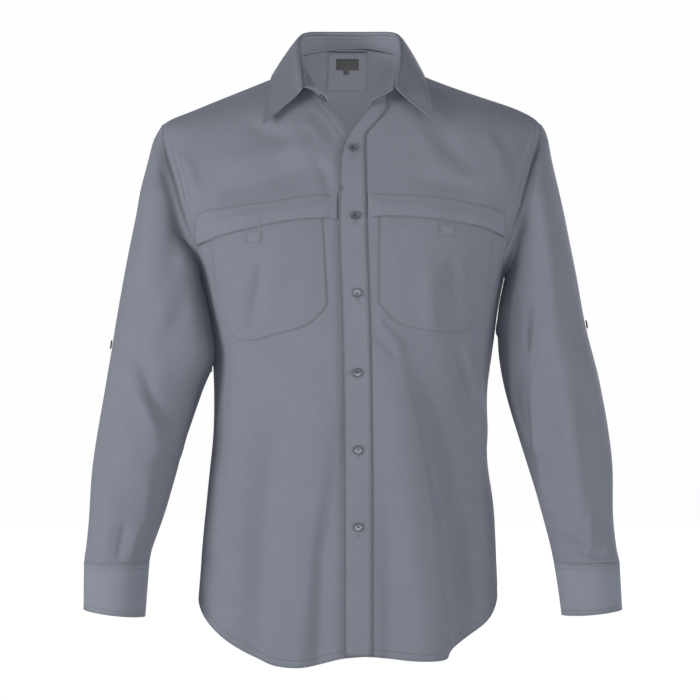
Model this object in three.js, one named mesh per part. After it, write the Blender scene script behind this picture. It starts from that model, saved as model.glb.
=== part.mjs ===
import * as THREE from 'three';

// A long-sleeved work shirt, hollow as if worn, fastened from the second button down.
// Millimetres, +Z up, +X to the wearer's left, +Y to the back. The origin is at the base of the
// neck, midway between the shoulders. Right and left are the wearer's.

const clothWall = 1.5;
const trimWall = 1.2;
const labelWall = 0.7;
const collarWall = 2.2;
const cuffWall = 2.4;
const seamGap = 0.5;
const layerGap = 0.9;
const buttonGap = 0.35;

// What lies on the front is stacked by its distance from the panel's outer face.
const pocketSeat = layerGap;
const pocketFace = pocketSeat + trimWall;
const flapSeat = pocketFace + layerGap;
const tabSeat = pocketFace + 0.5;
const leftFrontLift = clothWall + layerGap;
const placketSeat = leftFrontLift + 0.9;
const placketFace = placketSeat + trimWall;

const placketWidth = 33.5;
const frontOverlap = 27;
const shoulderSeamForward = 18;
const armpitHeight = -251;
const yokeSeamHeight = -100;
const neckSeamHeight = 24;
const backNeckHeight = 46;

const lowerRows = 12;
const upperRows = 11;
const yokeArmRows = 3;
const yokeShoulderRows = 7;
const frontColumns = 14;
const backColumns = 22;

const colours = {
  cloth: 0x777b84,
  lightCloth: 0x858993,
  inside: 0x74787f,
  label: 0x323234,
  button: 0x5a5d63,
};

function table(columns, rows) {
  const names = columns.split(' ');
  return rows.map((row) => Object.fromEntries(names.map((name, place) => [name, row[place]])));
}

// The body's level sections: half widths on both sides, the front and back reach, the Y of the
// side seams, and the power of the rounded outline (2 is an ellipse, more is squarer).
const bodySections = table('z right left front back centre power', [
  [50, 57, 57, -18, 61, 18, 2],
  [30, 70, 70, -28, 79, 16, 2],
  [14, 77, 76, -38, 91, 11, 2],
  [0, 106, 105, -48, 100, 8, 2],
  [-20, 155, 160, -60, 110, 6, 2.05],
  [-40, 202, 216, -73, 117, 5, 2.1],
  [-56, 231, 235, -82, 122, 5, 2.15],
  [-75, 242, 241, -89, 126, 5, 2.25],
  [-100, 240, 240, -98, 131, 5, 2.4],
  [-150, 232, 232, -116, 137, 5, 2.6],
  [-200, 214, 213, -127, 138, 7, 2.6],
  [-250, 194, 195, -133, 135, 10, 2.5],
  [-280, 186, 188, -134, 130, 12, 2.5],
  [-340, 177, 181, -131, 125, 12, 2.4],
  [-406, 174, 172, -126, 122, 8, 2.35],
  [-455, 175, 173, -125, 122, 6, 2.35],
  [-489, 179, 172.5, -125, 124, 5, 2.35],
  [-535, 183.5, 181, -127, 127, 5, 2.35],
  [-602, 190, 184.5, -129, 130, 4, 2.35],
  [-660, 194, 186, -131, 132, 4, 2.35],
  [-760, 197, 188, -133, 134, 4, 2.35],
]);

// Ridges and troughs of the body: the angle is 0 at the centre front, 90 at the left side seam,
// -90 at the right one and 180 at the centre back. A fold that ends below the hem runs off it.
const bodyFolds = table('top bottom topAngle bottomAngle width rise', [
  [-300, -900, 17, 42, 8, 5],
  [-305, -900, 30, 55, 8, -5.5],
  [-315, -560, 50, 80, 8, 3.5],
  [-300, -900, -19, -38, 8, 4.5],
  [-320, -900, -33, -54, 9, -4],
  [-450, -900, -15, -33, 8, -3.5],
  [-560, -900, 62, 70, 9, 3],
  [-200, -400, 44, 46, 9, 2.5],
  [-36, -125, -52, -16, 9, 3.5],
  [-60, -160, -56, -24, 9, -3],
  [-50, -150, 44, 22, 8, 3],
  [-90, -190, 72, 40, 7, -2.5],
  [-95, -190, -70, -36, 8, -2.5],
  [-110, -900, 166, 160, 8, 5],
  [-112, -900, 178, 178, 6, -3.5],
  [-110, -900, 193, 200, 8, 5],
  [-200, -900, 140, 134, 11, -4],
  [-210, -900, 221, 226, 11, -4],
  [-280, -900, 122, 112, 9, 4],
  [-290, -900, 239, 248, 9, 4],
]);

// The centre front edge of the left front, down its length.
const frontEdge = table('z x', [
  [-98, -13.6],
  [-179, -15.6],
  [-290, -12],
  [-404, -9.3],
  [-560, -8.6],
  [-760, -8.6],
]);

// Open neck and neckline of each front, from the end of its straight edge up to the shoulder.
const neckEdges = {
  right: table('x z', [[-4, -76], [-13, -61], [-24, -44], [-36, -30], [-44, -19], [-51, -5], [-58, 10]]),
  left: table('x z', [[-4.6, -78], [6, -62], [20, -44], [32, -31], [43, -19], [51, -5], [58, 10]]),
};

const frontHems = {
  right: table('x z', [
    [-196, -656], [-187, -675], [-176, -687], [-157, -702], [-135, -716], [-112, -726],
    [-90, -731], [-68, -732.5], [-50, -731], [-32, -726], [-12, -720.5], [20, -718],
  ]),
  left: table('x z', [
    [-14, -718], [22, -718], [48, -721], [78, -724], [108, -725], [120, -721], [131, -710],
    [146, -699], [160, -689], [177, -675], [189, -650],
  ]),
};

const backHem = table('angle z', [
  [90, -652], [98, -676], [110, -703], [126, -724], [148, -736], [180, -740],
  [212, -736], [234, -724], [250, -703], [262, -676], [270, -657],
]);

// Armhole on the body: degrees forward of the side line, and height.
const armholeFront = table('forward z', [
  [0, armpitHeight], [12, -246.5], [19.5, -228], [18.9, -200], [17.2, -166], [15.2, -137],
  [9.8, -102], [4.4, -61],
]);
const armholeYoke = table('forward z', [[4.4, -61], [0, -64.5], [-6, -74.5], [-13, yokeSeamHeight]]);
const armholeBack = table('forward z', [
  [-13, yokeSeamHeight], [-18.5, -136], [-21.5, -175], [-22, -212], [-14, -243], [0, armpitHeight],
]);

// Sleeve rings from the armhole to the cuff: the outermost and innermost points, the Y of the
// middle and half the depth. The armhole itself is ring 0.
const sleeveRings = {
  right: table('ring outerX outerZ innerX innerZ middle depth', [
    [1, 251, -82, 195.2, -252.6, 7, 71],
    [2, 258, -100, 194.8, -257, 5, 72],
    [3, 266, -132, 193, -263, 2, 73],
    [4, 276, -178, 190.8, -270, -2, 73.5],
    [5, 285.5, -231, 187.6, -281, -7, 73],
    [6, 293, -275, 184.4, -297, -12, 71.5],
    [7, 299, -318, 181, -322, -17, 69.5],
    [8, 302.5, -345, 178, -345, -20, 67],
    [9, 306.8, -370, 179.5, -370, -23, 65],
    [10, 312.6, -406, 190, -406, -28, 62],
    [11, 320, -450, 206, -450, -34, 59],
    [12, 326, -500, 219, -500, -42, 56],
    [13, 328, -550, 234, -550, -52, 52.5],
    [14, 331, -591, 247.5, -591, -64, 46],
    [15, 331.5, -606.5, 251, -606.5, -68, 42],
  ]),
  left: table('ring outerX outerZ innerX innerZ middle depth', [
    [1, 245, -74, 196.2, -252.6, 7, 71],
    [2, 252, -92, 195.6, -257, 5, 72],
    [3, 261, -128, 194.2, -263, 2, 73],
    [4, 272, -178, 192.4, -270, -2, 73.5],
    [5, 283, -231, 189.8, -281, -7, 73],
    [6, 290.5, -275, 187.2, -297, -12, 71.5],
    [7, 297.5, -318, 186, -322, -17, 69.5],
    [8, 304, -345, 184.5, -345, -20, 67],
    [9, 310.8, -370, 188, -370, -23, 65],
    [10, 317, -406, 196, -406, -28, 62],
    [11, 325, -450, 208.5, -450, -34, 59],
    [12, 328.5, -500, 223.6, -500, -42, 56],
    [13, 327.5, -550, 239, -550, -52, 52.5],
    [14, 332, -591, 249, -591, -64, 46],
    [15, 333.5, -606.5, 252.5, -606.5, -68, 42],
  ]),
};

const cuffRings = {
  right: table('ring outerX outerZ innerX innerZ middle depth', [
    [0, 332.5, -607.2, 250.5, -607.2, -68, 43],
    [1, 332.5, -636, 252.5, -640, -76, 42],
    [2, 331.5, -664, 254.5, -673, -84, 41],
  ]),
  left: table('ring outerX outerZ innerX innerZ middle depth', [
    [0, 334.5, -607.2, 252, -607.2, -68, 43],
    [1, 335.5, -636, 257, -639, -76, 42],
    [2, 336, -664, 260.5, -671, -84, 41],
  ]),
};

// Sleeve folds: ring places at both ends, and the turn in degrees from the inner line towards
// the front, where 180 is the outer line.
const sleeveFolds = {
  right: table('top bottom topAngle bottomAngle width rise', [
    [1, 7, 128, 118, 15, 4],
    [2, 9, 96, 72, 13, -4],
    [7, 12.5, 128, 40, 14, 3.5],
    [8, 13, 96, 14, 12, -4],
    [9.5, 14.5, 150, 96, 14, 3],
    [2, 12, 250, 262, 18, 4],
    [6, 15, 215, 232, 14, -4],
    [10, 15.5, 60, 74, 11, 2.5],
    [10, 15.5, 292, 300, 12, 3],
  ]),
  left: table('top bottom topAngle bottomAngle width rise', [
    [1, 8, 118, 104, 14, 4],
    [2, 10, 88, 66, 13, -4.5],
    [6.5, 12, 96, 30, 13, -4],
    [7, 13, 128, 62, 14, 3.5],
    [11.5, 15.5, 150, 76, 12, -3.5],
    [11, 15, 172, 112, 12, 3],
    [2, 12, 254, 268, 18, 4],
    [6, 15, 218, 230, 14, -4],
    [10, 15.5, 290, 302, 12, 3],
  ]),
};

// Collar stations from the centre back to the front corner of the fall: the neck seam by its
// angle and height on the body, the top of the stand, and the free edge of the fall. The left
// half sits closer to the neck and has distances of its own.
const collarStations = table('angle seamZ rollX rollY rollZ edgeX edgeY edgeZ leftRollX leftEdgeX leftEdgeZ', [
  [180, backNeckHeight, 0, 50, 62.5, 0, 88, 25, 0, 0, 25],
  [160, 45, 21, 48.5, 62.5, 30, 85, 24, 20, 29, 24],
  [140, 42, 40, 42, 62, 56, 76, 21, 37.5, 53, 22],
  [118, 37, 54.5, 30, 60, 78, 58, 17, 51.5, 73, 19],
  [98, 31, 62, 13, 55, 93, 32, 12, 59.5, 84, 16],
  [78, 25, 65, -5, 45, 100, 4, 7.5, 62.5, 90, 12],
  [66, 15, 64.5, -22, 31, 101.5, -24, -1, 62, 92.5, 4],
  [53.5, 5, 63, -43, 14, 104.5, -51.5, -18, 60, 96, -13],
  [43.5, -5, 61, -59.5, -2, 107.5, -73, -39, 56, 101, -35],
  [35, -19, 58.5, -75, -17, 109.5, -91, -62, 54, 106, -62],
]);

// The stand runs on past the fall to a rounded end that buttons at the neck when closed.
const standEnds = {
  right: table('angle seamZ rollX rollY rollZ', [
    [29, -29, 48, -80, -18],
    [22, -37, 37, -86, -24],
    [17.6, -43, 29, -88, -34],
  ]),
  left: table('angle seamZ rollX rollY rollZ', [
    [29, -29, 47, -80, -24],
    [21.5, -37, 34, -86, -30],
    [16, -43.5, 24.5, -87, -35],
  ]),
};

// Chest flaps: upper and lower edge, by distance from the centre front.
const flapEdges = {
  right: table('x top bottom', [
    [-17.2, -151, -182], [-52, -152, -183], [-88, -158, -187], [-122, -161, -194], [-150, -165, -200],
    [-178, -169, -208], [-192, -173, -213],
  ]),
  left: table('x top bottom', [
    [20.8, -151.5, -181.5], [60, -151.5, -180], [98, -153, -183], [130, -157, -187],
    [158, -163, -191.5], [180, -168, -198], [191, -172, -203],
  ]),
};

// Chest pockets: the outline from the inner corner under the flap, round the bottom, to the
// outer corner, which is the lower edge of the patch, with its straight sides given apart.
const pocketOutlines = {
  right: {
    top: [[-36, -174], [-174, -196]],
    bottom: [
      [-29.5, -287], [-34, -295], [-44.5, -304.5], [-56, -315], [-80, -321], [-108, -328],
      [-130, -335], [-149, -322.5], [-162, -308], [-167, -294],
    ],
  },
  left: {
    top: [[35, -174], [178, -188]],
    bottom: [
      [33.5, -286], [43, -296], [54, -309], [74, -317.5], [104, -320.5], [128, -323],
      [142, -318.5], [160, -307], [167, -296], [170, -283],
    ],
  },
};

const hookTabs = {
  right: { innerX: -110, outerX: -128.5, top: -196.4, bottom: -212.5 },
  left: { innerX: 108.5, outerX: 126.5, top: -189.4, bottom: -203.5 },
};

const neckLabels = {
  label_patch: { from: -34, to: 23.5, top: 43, bottom: -4, seat: clothWall + 0.9, wall: labelWall },
  neck_label: { from: -21, to: 10.5, top: 36, bottom: 23, seat: clothWall + 2.5, wall: labelWall },
  size_tab: { from: -10.5, to: -3, top: 22, bottom: 17.5, seat: clothWall + 2.5, wall: labelWall },
};

const frontButtons = table('x z', [
  [2.4, -94.7], [4.9, -178.9], [7.3, -273.3], [7.3, -370], [8.5, -465.3], [8.5, -559.5],
]);
const sleeveButtons = {
  right: { ring: 7.65, turn: 176 },
  left: { ring: 6.8, turn: 178 },
};
const buttonRadius = 5.6;
const buttonThickness = 2.2;
const buttonDish = 0.6;
const buttonSides = 12;

// Reads one column at a place in the key column, on a curve that never overshoots its rows.
function read(rows, key, at, column) {
  const last = rows.length - 1;
  const direction = Math.sign(rows[last][key] - rows[0][key]);
  const rank = (place) => rows[place][key] * direction;
  const wanted = THREE.MathUtils.clamp(at * direction, rank(0), rank(last));
  let low = 0;
  while (low < last - 1 && wanted > rank(low + 1)) {
    low += 1;
  }
  const slope = (place) => (rows[place + 1][column] - rows[place][column]) / (rank(place + 1) - rank(place));
  const tangent = (place) => {
    if (place === 0) return slope(0);
    if (place === last) return slope(last - 1);
    const before = slope(place - 1);
    const after = slope(place);
    return before * after <= 0 ? 0 : (2 * before * after) / (before + after);
  };
  const span = rank(low + 1) - rank(low);
  const t = (wanted - rank(low)) / span;
  const rest = 1 - t;
  return (
    rows[low][column] * rest * rest * (1 + 2 * t) +
    rows[low + 1][column] * t * t * (3 - 2 * t) +
    tangent(low) * span * t * rest * rest -
    tangent(low + 1) * span * t * t * rest
  );
}

function foldRise(folds, angle, place) {
  let rise = 0;
  for (const fold of folds) {
    const along = (place - fold.top) / (fold.bottom - fold.top);
    if (along > 0 && along < 1) {
      const middle = THREE.MathUtils.lerp(fold.topAngle, fold.bottomAngle, along);
      const off = THREE.MathUtils.euclideanModulo(angle - middle + 180, 360) - 180;
      const fade = THREE.MathUtils.smoothstep(along, 0, 0.3) * (1 - THREE.MathUtils.smoothstep(along, 0.7, 1));
      rise += fold.rise * fade * Math.exp(-((off / fold.width) ** 2));
    }
  }
  return rise;
}

function bodyPoint(angle, height) {
  const turn = THREE.MathUtils.degToRad(angle);
  const across = Math.sin(turn);
  const forward = Math.cos(turn);
  const half = read(bodySections, 'z', height, across < 0 ? 'right' : 'left');
  const centre = read(bodySections, 'z', height, 'centre');
  const reach = read(bodySections, 'z', height, forward > 0 ? 'front' : 'back');
  const power = read(bodySections, 'z', height, 'power');
  const level = Math.abs(across / half) ** power + Math.abs(forward / (reach - centre)) ** power;
  const radius = level ** (-1 / power) + foldRise(bodyFolds, angle, height);
  return new THREE.Vector3(radius * across, centre - radius * forward, height);
}

// The angle on the front where the body is x from the centre at this height.
function angleAt(x, height) {
  const half = read(bodySections, 'z', height, x < 0 ? 'right' : 'left');
  const centre = read(bodySections, 'z', height, 'centre');
  const depth = centre - read(bodySections, 'z', height, 'front');
  const power = read(bodySections, 'z', height, 'power');
  const forward = depth * Math.max(0, 1 - Math.abs(x / half) ** power) ** (1 / power);
  return THREE.MathUtils.radToDeg(Math.atan2(x, forward));
}

function onFront(x, height) {
  return new THREE.Vector2(angleAt(x, height), height);
}

// A point of a surface moved out along its normal.
function movedOut(surface, a, b, stepA, stepB, out) {
  const alongA = surface(a + stepA, b).sub(surface(a - stepA, b));
  const alongB = surface(a, b + stepB).sub(surface(a, b - stepB));
  const normal = alongA.cross(alongB).normalize();
  return surface(a, b).addScaledVector(normal, out);
}

function bodyAt(angle, height, out) {
  return movedOut(bodyPoint, angle, height, 0.4, 0.8, out);
}

// One closed wall between two grids of points, [row][column]. A round wall's last column meets
// its first, and its two ends are open.
function wallGeometry(outer, inner, round) {
  const rows = outer.length;
  const columns = outer[0].length;
  const positions = [];
  for (const grid of [outer, inner]) {
    for (const row of grid) {
      for (const point of row) positions.push(point.x, point.y, point.z);
    }
  }
  const triangles = [];
  const at = (side, row, column) => side * rows * columns + row * columns + (column % columns);
  const quad = (a, b, c, d) => triangles.push(a, b, c, a, c, d);
  const spans = round ? columns : columns - 1;
  for (let row = 0; row < rows - 1; row += 1) {
    for (let column = 0; column < spans; column += 1) {
      const next = column + 1;
      quad(at(0, row, column), at(0, row, next), at(0, row + 1, next), at(0, row + 1, column));
      triangles.push(at(1, row, column), at(1, row + 1, next), at(1, row, next));
      triangles.push(at(1, row, column), at(1, row + 1, column), at(1, row + 1, next));
    }
  }
  for (let column = 0; column < spans; column += 1) {
    const next = column + 1;
    const end = rows - 1;
    quad(at(0, 0, next), at(0, 0, column), at(1, 0, column), at(1, 0, next));
    quad(at(0, end, column), at(0, end, next), at(1, end, next), at(1, end, column));
  }
  if (!round) {
    for (let row = 0; row < rows - 1; row += 1) {
      const end = columns - 1;
      quad(at(0, row, 0), at(0, row + 1, 0), at(1, row + 1, 0), at(1, row, 0));
      quad(at(0, row + 1, end), at(0, row, end), at(1, row, end), at(1, row + 1, end));
    }
  }
  const geometry = new THREE.BufferGeometry();
  geometry.setAttribute('position', new THREE.Float32BufferAttribute(positions, 3));
  geometry.setIndex(signedVolume(positions, triangles) < 0 ? turnedOver(triangles) : triangles);
  geometry.computeVertexNormals();
  return geometry;
}

function signedVolume(positions, triangles) {
  let volume = 0;
  const corner = (index) => new THREE.Vector3().fromArray(positions, index * 3);
  for (let first = 0; first < triangles.length; first += 3) {
    const a = corner(triangles[first]);
    const b = corner(triangles[first + 1]);
    const c = corner(triangles[first + 2]);
    volume += a.dot(b.cross(c)) / 6;
  }
  return volume;
}

function turnedOver(triangles) {
  const turned = [];
  for (let first = 0; first < triangles.length; first += 3) {
    turned.push(triangles[first], triangles[first + 2], triangles[first + 1]);
  }
  return turned;
}

const shirt = new THREE.Group();

function addPiece(name, geometry, colour, roughness = 0.9) {
  const material = new THREE.MeshStandardMaterial({ color: colour, roughness, metalness: 0 });
  const mesh = new THREE.Mesh(geometry, material);
  mesh.name = name;
  shirt.add(mesh);
  return mesh;
}

// Edges of a patch are functions from 0 to 1 that give an angle and a height on the body.
function smoothEdge(points) {
  const curve = new THREE.SplineCurve(points);
  return (t) => curve.getPoint(t);
}

function joinedEdge(parts) {
  return (t) => {
    let start = 0;
    for (const part of parts) {
      if (t <= start + part.share + 1e-9) return part.edge(Math.min(1, (t - start) / part.share));
      start += part.share;
    }
    return parts[parts.length - 1].edge(1);
  };
}

function patchPoint(edges, u, v) {
  const point = edges.bottom(u).multiplyScalar(1 - v);
  point.addScaledVector(edges.top(u), v);
  point.addScaledVector(edges.left(v), 1 - u);
  point.addScaledVector(edges.right(v), u);
  point.addScaledVector(edges.bottom(0), -(1 - u) * (1 - v));
  point.addScaledVector(edges.bottom(1), -u * (1 - v));
  point.addScaledVector(edges.top(0), -(1 - u) * v);
  point.addScaledVector(edges.top(1), -u * v);
  return point;
}

// A wall over a patch of the body, between two distances from the body's surface, each a
// function of the angle and height.
function bodyWall(edges, columns, rows, outerFace, innerFace) {
  const outer = [];
  const inner = [];
  for (let row = 0; row <= rows; row += 1) {
    const outerRow = [];
    const innerRow = [];
    for (let column = 0; column <= columns; column += 1) {
      const place = patchPoint(edges, column / columns, row / rows);
      outerRow.push(bodyAt(place.x, place.y, outerFace(place.x, place.y)));
      innerRow.push(bodyAt(place.x, place.y, innerFace(place.x, place.y)));
    }
    outer.push(outerRow);
    inner.push(innerRow);
  }
  return wallGeometry(outer, inner, false);
}

function edgeGap(height) {
  return THREE.MathUtils.radToDeg(seamGap / 2 / read(bodySections, 'z', height, 'left'));
}

// Armhole edge of a panel on the left side, as angle and height. The other side mirrors it.
function armholeEdge(rows) {
  return smoothEdge(rows.map((row) => new THREE.Vector2(90 - row.forward, row.z)));
}

function mirrored(edge) {
  return (t) => {
    const point = edge(t);
    point.x *= -1;
    return point;
  };
}

// Draws a panel's armhole edge back from the seam: along the girth where the edge runs up and
// down, and along the height where it crosses the side line at the armpit and the shoulder.
function besideSeam(edge, side) {
  const crossing = 12;
  return (t) => {
    const point = edge(t);
    const across = Math.max(0, 1 - Math.abs(90 - point.x) / crossing);
    point.x += side * edgeGap(point.y);
    point.y += Math.sign(point.y - (armpitHeight + neckSeamHeight) / 2) * 2.6 * seamGap * across;
    return point;
  };
}

function reversed(edge) {
  return (t) => edge(1 - t);
}

function shoulderEdge(t) {
  const height = THREE.MathUtils.lerp(neckSeamHeight, armholeYoke[0].z, t ** 1.15);
  const half = read(bodySections, 'z', height, 'left');
  const forward = THREE.MathUtils.radToDeg(Math.asin(shoulderSeamForward / half));
  return new THREE.Vector2(90 - forward, height);
}

const lowerShare = lowerRows / (lowerRows + upperRows);

function frontPatch(side) {
  const sign = side === 'left' ? 1 : -1;
  const underlap = side === 'left' ? 0 : frontOverlap;
  const edgeX = (height) => read(frontEdge, 'z', height, 'x') + underlap;
  const hemStart = edgeX(-720);
  const hemAt = (angle) => read(frontHems[side], 'x', bodyPoint(angle, -700).x, 'z');
  const sideAngle = 90 - edgeGap(-400);
  const straight = [armpitHeight, -200, -149, -98].map((height) => onFront(edgeX(height), height));
  const neck = neckEdges[side].map((row) => onFront(row.x, row.z));
  const neckCorner = shoulderEdge(0);
  const neckPoint = new THREE.Vector2((neckCorner.x - seamGap) * sign, neckCorner.y);
  const hemAngle = angleAt(hemStart, -720);
  const armhole = besideSeam(armholeEdge(armholeFront), -1);
  const seam = (t) => new THREE.Vector2(
    sideAngle,
    THREE.MathUtils.lerp(hemAt(sign * sideAngle), armpitHeight, t),
  );
  const outerEdge = joinedEdge([
    { share: lowerShare, edge: seam },
    { share: 1 - lowerShare, edge: armhole },
  ]);
  const frontLine = (t) => {
    const height = THREE.MathUtils.lerp(hemAt(hemAngle), armpitHeight, t);
    return onFront(edgeX(height), height);
  };
  const top = (t) => {
    const point = shoulderEdge(t);
    const gap = THREE.MathUtils.radToDeg(seamGap / read(bodySections, 'z', point.y, 'left'));
    return new THREE.Vector2((point.x - gap) * sign, point.y);
  };
  return {
    left: joinedEdge([
      { share: lowerShare, edge: frontLine },
      { share: 1 - lowerShare, edge: smoothEdge([...straight, ...neck, neckPoint]) },
    ]),
    right: sign > 0 ? outerEdge : mirrored(outerEdge),
    bottom: (t) => {
      const angle = THREE.MathUtils.lerp(hemAngle, sign * sideAngle, t);
      return new THREE.Vector2(angle, hemAt(angle));
    },
    top,
  };
}

// The left front lies on the right one where they overlap, and comes back to the body beyond.
const overlapEnd = 27;
const rampEnd = 62;
function leftFrontFace(angle, height) {
  const x = bodyPoint(angle, height).x;
  return leftFrontLift * (1 - THREE.MathUtils.smoothstep(x, overlapEnd, rampEnd));
}

const onBody = () => 0;
const underBody = () => -clothWall;

function addFronts() {
  const rows = lowerRows + upperRows;
  addPiece(
    'front_right',
    bodyWall(frontPatch('right'), frontColumns, rows, onBody, underBody),
    colours.cloth,
  );
  const leftUnder = (angle, height) => leftFrontFace(angle, height) - clothWall;
  addPiece(
    'front_left',
    bodyWall(frontPatch('left'), frontColumns, rows, leftFrontFace, leftUnder),
    colours.cloth,
  );
}

function addBack() {
  const seam = (t) => {
    const angle = 90 + edgeGap(-400);
    return new THREE.Vector2(angle, THREE.MathUtils.lerp(backHem[0].z, armpitHeight, t));
  };
  const armhole = reversed(besideSeam(armholeEdge(armholeBack), 1));
  const lowered = (t) => {
    const point = armhole(t);
    point.y -= seamGap * t;
    return point;
  };
  const leftEdge = joinedEdge([
    { share: lowerShare, edge: seam },
    { share: 1 - lowerShare, edge: lowered },
  ]);
  const rightEdge = (t) => {
    const point = leftEdge(t);
    const hemDrop = (backHem[backHem.length - 1].z - backHem[0].z) * Math.max(0, 1 - t / lowerShare);
    return new THREE.Vector2(360 - point.x, point.y + hemDrop);
  };
  const firstAngle = leftEdge(0).x;
  const topAngle = leftEdge(1).x;
  const edges = {
    left: leftEdge,
    right: rightEdge,
    bottom: (t) => {
      const angle = THREE.MathUtils.lerp(firstAngle, 360 - firstAngle, t);
      return new THREE.Vector2(angle, read(backHem, 'angle', angle, 'z'));
    },
    top: (t) => new THREE.Vector2(
      THREE.MathUtils.lerp(topAngle, 360 - topAngle, t),
      yokeSeamHeight - seamGap,
    ),
  };
  const rows = lowerRows + upperRows;
  addPiece('back', bodyWall(edges, backColumns, rows, onBody, underBody), colours.cloth);
}

function neckLine(angle) {
  const turn = angle > 180 ? 360 - angle : angle;
  return read(collarStations, 'angle', turn, 'seamZ');
}

function addYoke() {
  const armhole = reversed(besideSeam(armholeEdge(armholeYoke), 1));
  const shoulder = (t) => {
    const point = shoulderEdge(1 - t);
    const gap = THREE.MathUtils.radToDeg(seamGap / read(bodySections, 'z', point.y, 'left'));
    return new THREE.Vector2(point.x + gap, point.y);
  };
  const rows = yokeArmRows + yokeShoulderRows;
  const leftEdge = joinedEdge([
    { share: yokeArmRows / rows, edge: armhole },
    { share: yokeShoulderRows / rows, edge: shoulder },
  ]);
  const corner = leftEdge(0);
  const neckCorner = leftEdge(1);
  const edges = {
    left: leftEdge,
    right: (t) => {
      const point = leftEdge(t);
      return new THREE.Vector2(360 - point.x, point.y);
    },
    bottom: (t) => new THREE.Vector2(THREE.MathUtils.lerp(corner.x, 360 - corner.x, t), corner.y),
    top: (t) => {
      const angle = THREE.MathUtils.lerp(neckCorner.x, 360 - neckCorner.x, t);
      return new THREE.Vector2(angle, neckLine(angle) - seamGap);
    },
  };
  addPiece('yoke', bodyWall(edges, backColumns, rows, onBody, underBody), colours.cloth);
}

// The placket follows the left front's edge, row by row, past the open neck up to the neckline.
const placketNeck = table('x z chestX chestZ', [
  [-9, -87.5, 16.6, -87], [-4, -78, 18, -76], [1, -70, 27, -65.5], [6.5, -62, 38, -54],
  [13.5, -53.5, 46, -41], [20.6, -44.6, 44, -22],
]);

function addPlacket() {
  const inset = 0.4;
  const straightHeights = [armpitHeight, -200, -149, -98];
  const straightRows = lowerRows + straightHeights.length - 1;
  const share = straightRows / (straightRows + placketNeck.length);
  const hemHeight = (x) => read(frontHems.left, 'x', x, 'z') + inset;
  const edgeX = (height) => read(frontEdge, 'z', height, 'x') + inset;
  const heightAt = (t, hem) => {
    const row = t * straightRows;
    if (row <= lowerRows) return THREE.MathUtils.lerp(hem, armpitHeight, row / lowerRows);
    const above = Math.min(row - lowerRows, straightHeights.length - 1.000001);
    const low = Math.floor(above);
    return THREE.MathUtils.lerp(straightHeights[low], straightHeights[low + 1], above - low);
  };
  const strip = (offset) => (t) => {
    const height = heightAt(t, hemHeight(edgeX(-720) + offset));
    const narrowing = 3.6 * THREE.MathUtils.smoothstep(height, -170, -98);
    return onFront(edgeX(height) + Math.max(0, offset - narrowing), height);
  };
  const neckSide = [strip(0)(1), ...placketNeck.map((row) => onFront(row.x, row.z))];
  const chestSide = [strip(placketWidth)(1), ...placketNeck.map((row) => onFront(row.chestX, row.chestZ))];
  const edges = {
    left: joinedEdge([
      { share, edge: strip(0) },
      { share: 1 - share, edge: smoothEdge(neckSide) },
    ]),
    right: joinedEdge([
      { share, edge: strip(placketWidth) },
      { share: 1 - share, edge: smoothEdge(chestSide) },
    ]),
    bottom: (t) => strip(placketWidth * t)(0),
    top: smoothEdge([neckSide[neckSide.length - 1], onFront(33, -33), chestSide[chestSide.length - 1]]),
  };
  const face = (angle, height) => leftFrontFace(angle, height) + placketFace - leftFrontLift;
  const seat = (angle, height) => leftFrontFace(angle, height) + placketSeat - leftFrontLift;
  const rows = straightRows + placketNeck.length;
  addPiece('placket', bodyWall(edges, 4, rows, face, seat), colours.cloth);
}

function frontFace(side, angle, height) {
  return side === 'left' ? leftFrontFace(angle, height) : 0;
}

function addFlap(side) {
  const rows = flapEdges[side];
  const sign = side === 'left' ? 1 : -1;
  const keyed = sign > 0 ? rows : [...rows].reverse();
  const first = rows[0].x;
  const last = rows[rows.length - 1].x;
  const level = (column) => (t) => {
    const x = THREE.MathUtils.lerp(first, last, t);
    return onFront(x, read(keyed, 'x', x, column));
  };
  const lower = level('bottom');
  const upper = level('top');
  const between = (t) => (v) => lower(t).lerp(upper(t), v);
  const edges = { bottom: lower, top: upper, left: between(0), right: between(1) };
  const rise = (angle, height) => {
    const x = bodyPoint(angle, height).x;
    const top = read(keyed, 'x', x, 'top');
    const bottom = read(keyed, 'x', x, 'bottom');
    const down = (top - height) / (top - bottom);
    return frontFace(side, angle, height) + THREE.MathUtils.lerp(layerGap, flapSeat, Math.min(1, down / 0.6));
  };
  const face = (angle, height) => rise(angle, height) + trimWall;
  addPiece(`flap_${side}`, bodyWall(edges, 12, 3, face, rise), colours.cloth);
}

function addPocket(side) {
  const outline = pocketOutlines[side];
  const point = ([x, z]) => onFront(x, z);
  const first = outline.bottom[0];
  const last = outline.bottom[outline.bottom.length - 1];
  const straight = (from, to) => (t) => point([
    THREE.MathUtils.lerp(from[0], to[0], t),
    THREE.MathUtils.lerp(from[1], to[1], t),
  ]);
  const edges = {
    bottom: smoothEdge(outline.bottom.map(point)),
    top: straight(outline.top[0], outline.top[1]),
    left: straight(first, outline.top[0]),
    right: straight(last, outline.top[1]),
  };
  const seat = (angle, height) => frontFace(side, angle, height) + pocketSeat;
  const face = (angle, height) => frontFace(side, angle, height) + pocketFace;
  addPiece(`pocket_${side}`, bodyWall(edges, 10, 7, face, seat), colours.cloth);
}

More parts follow.
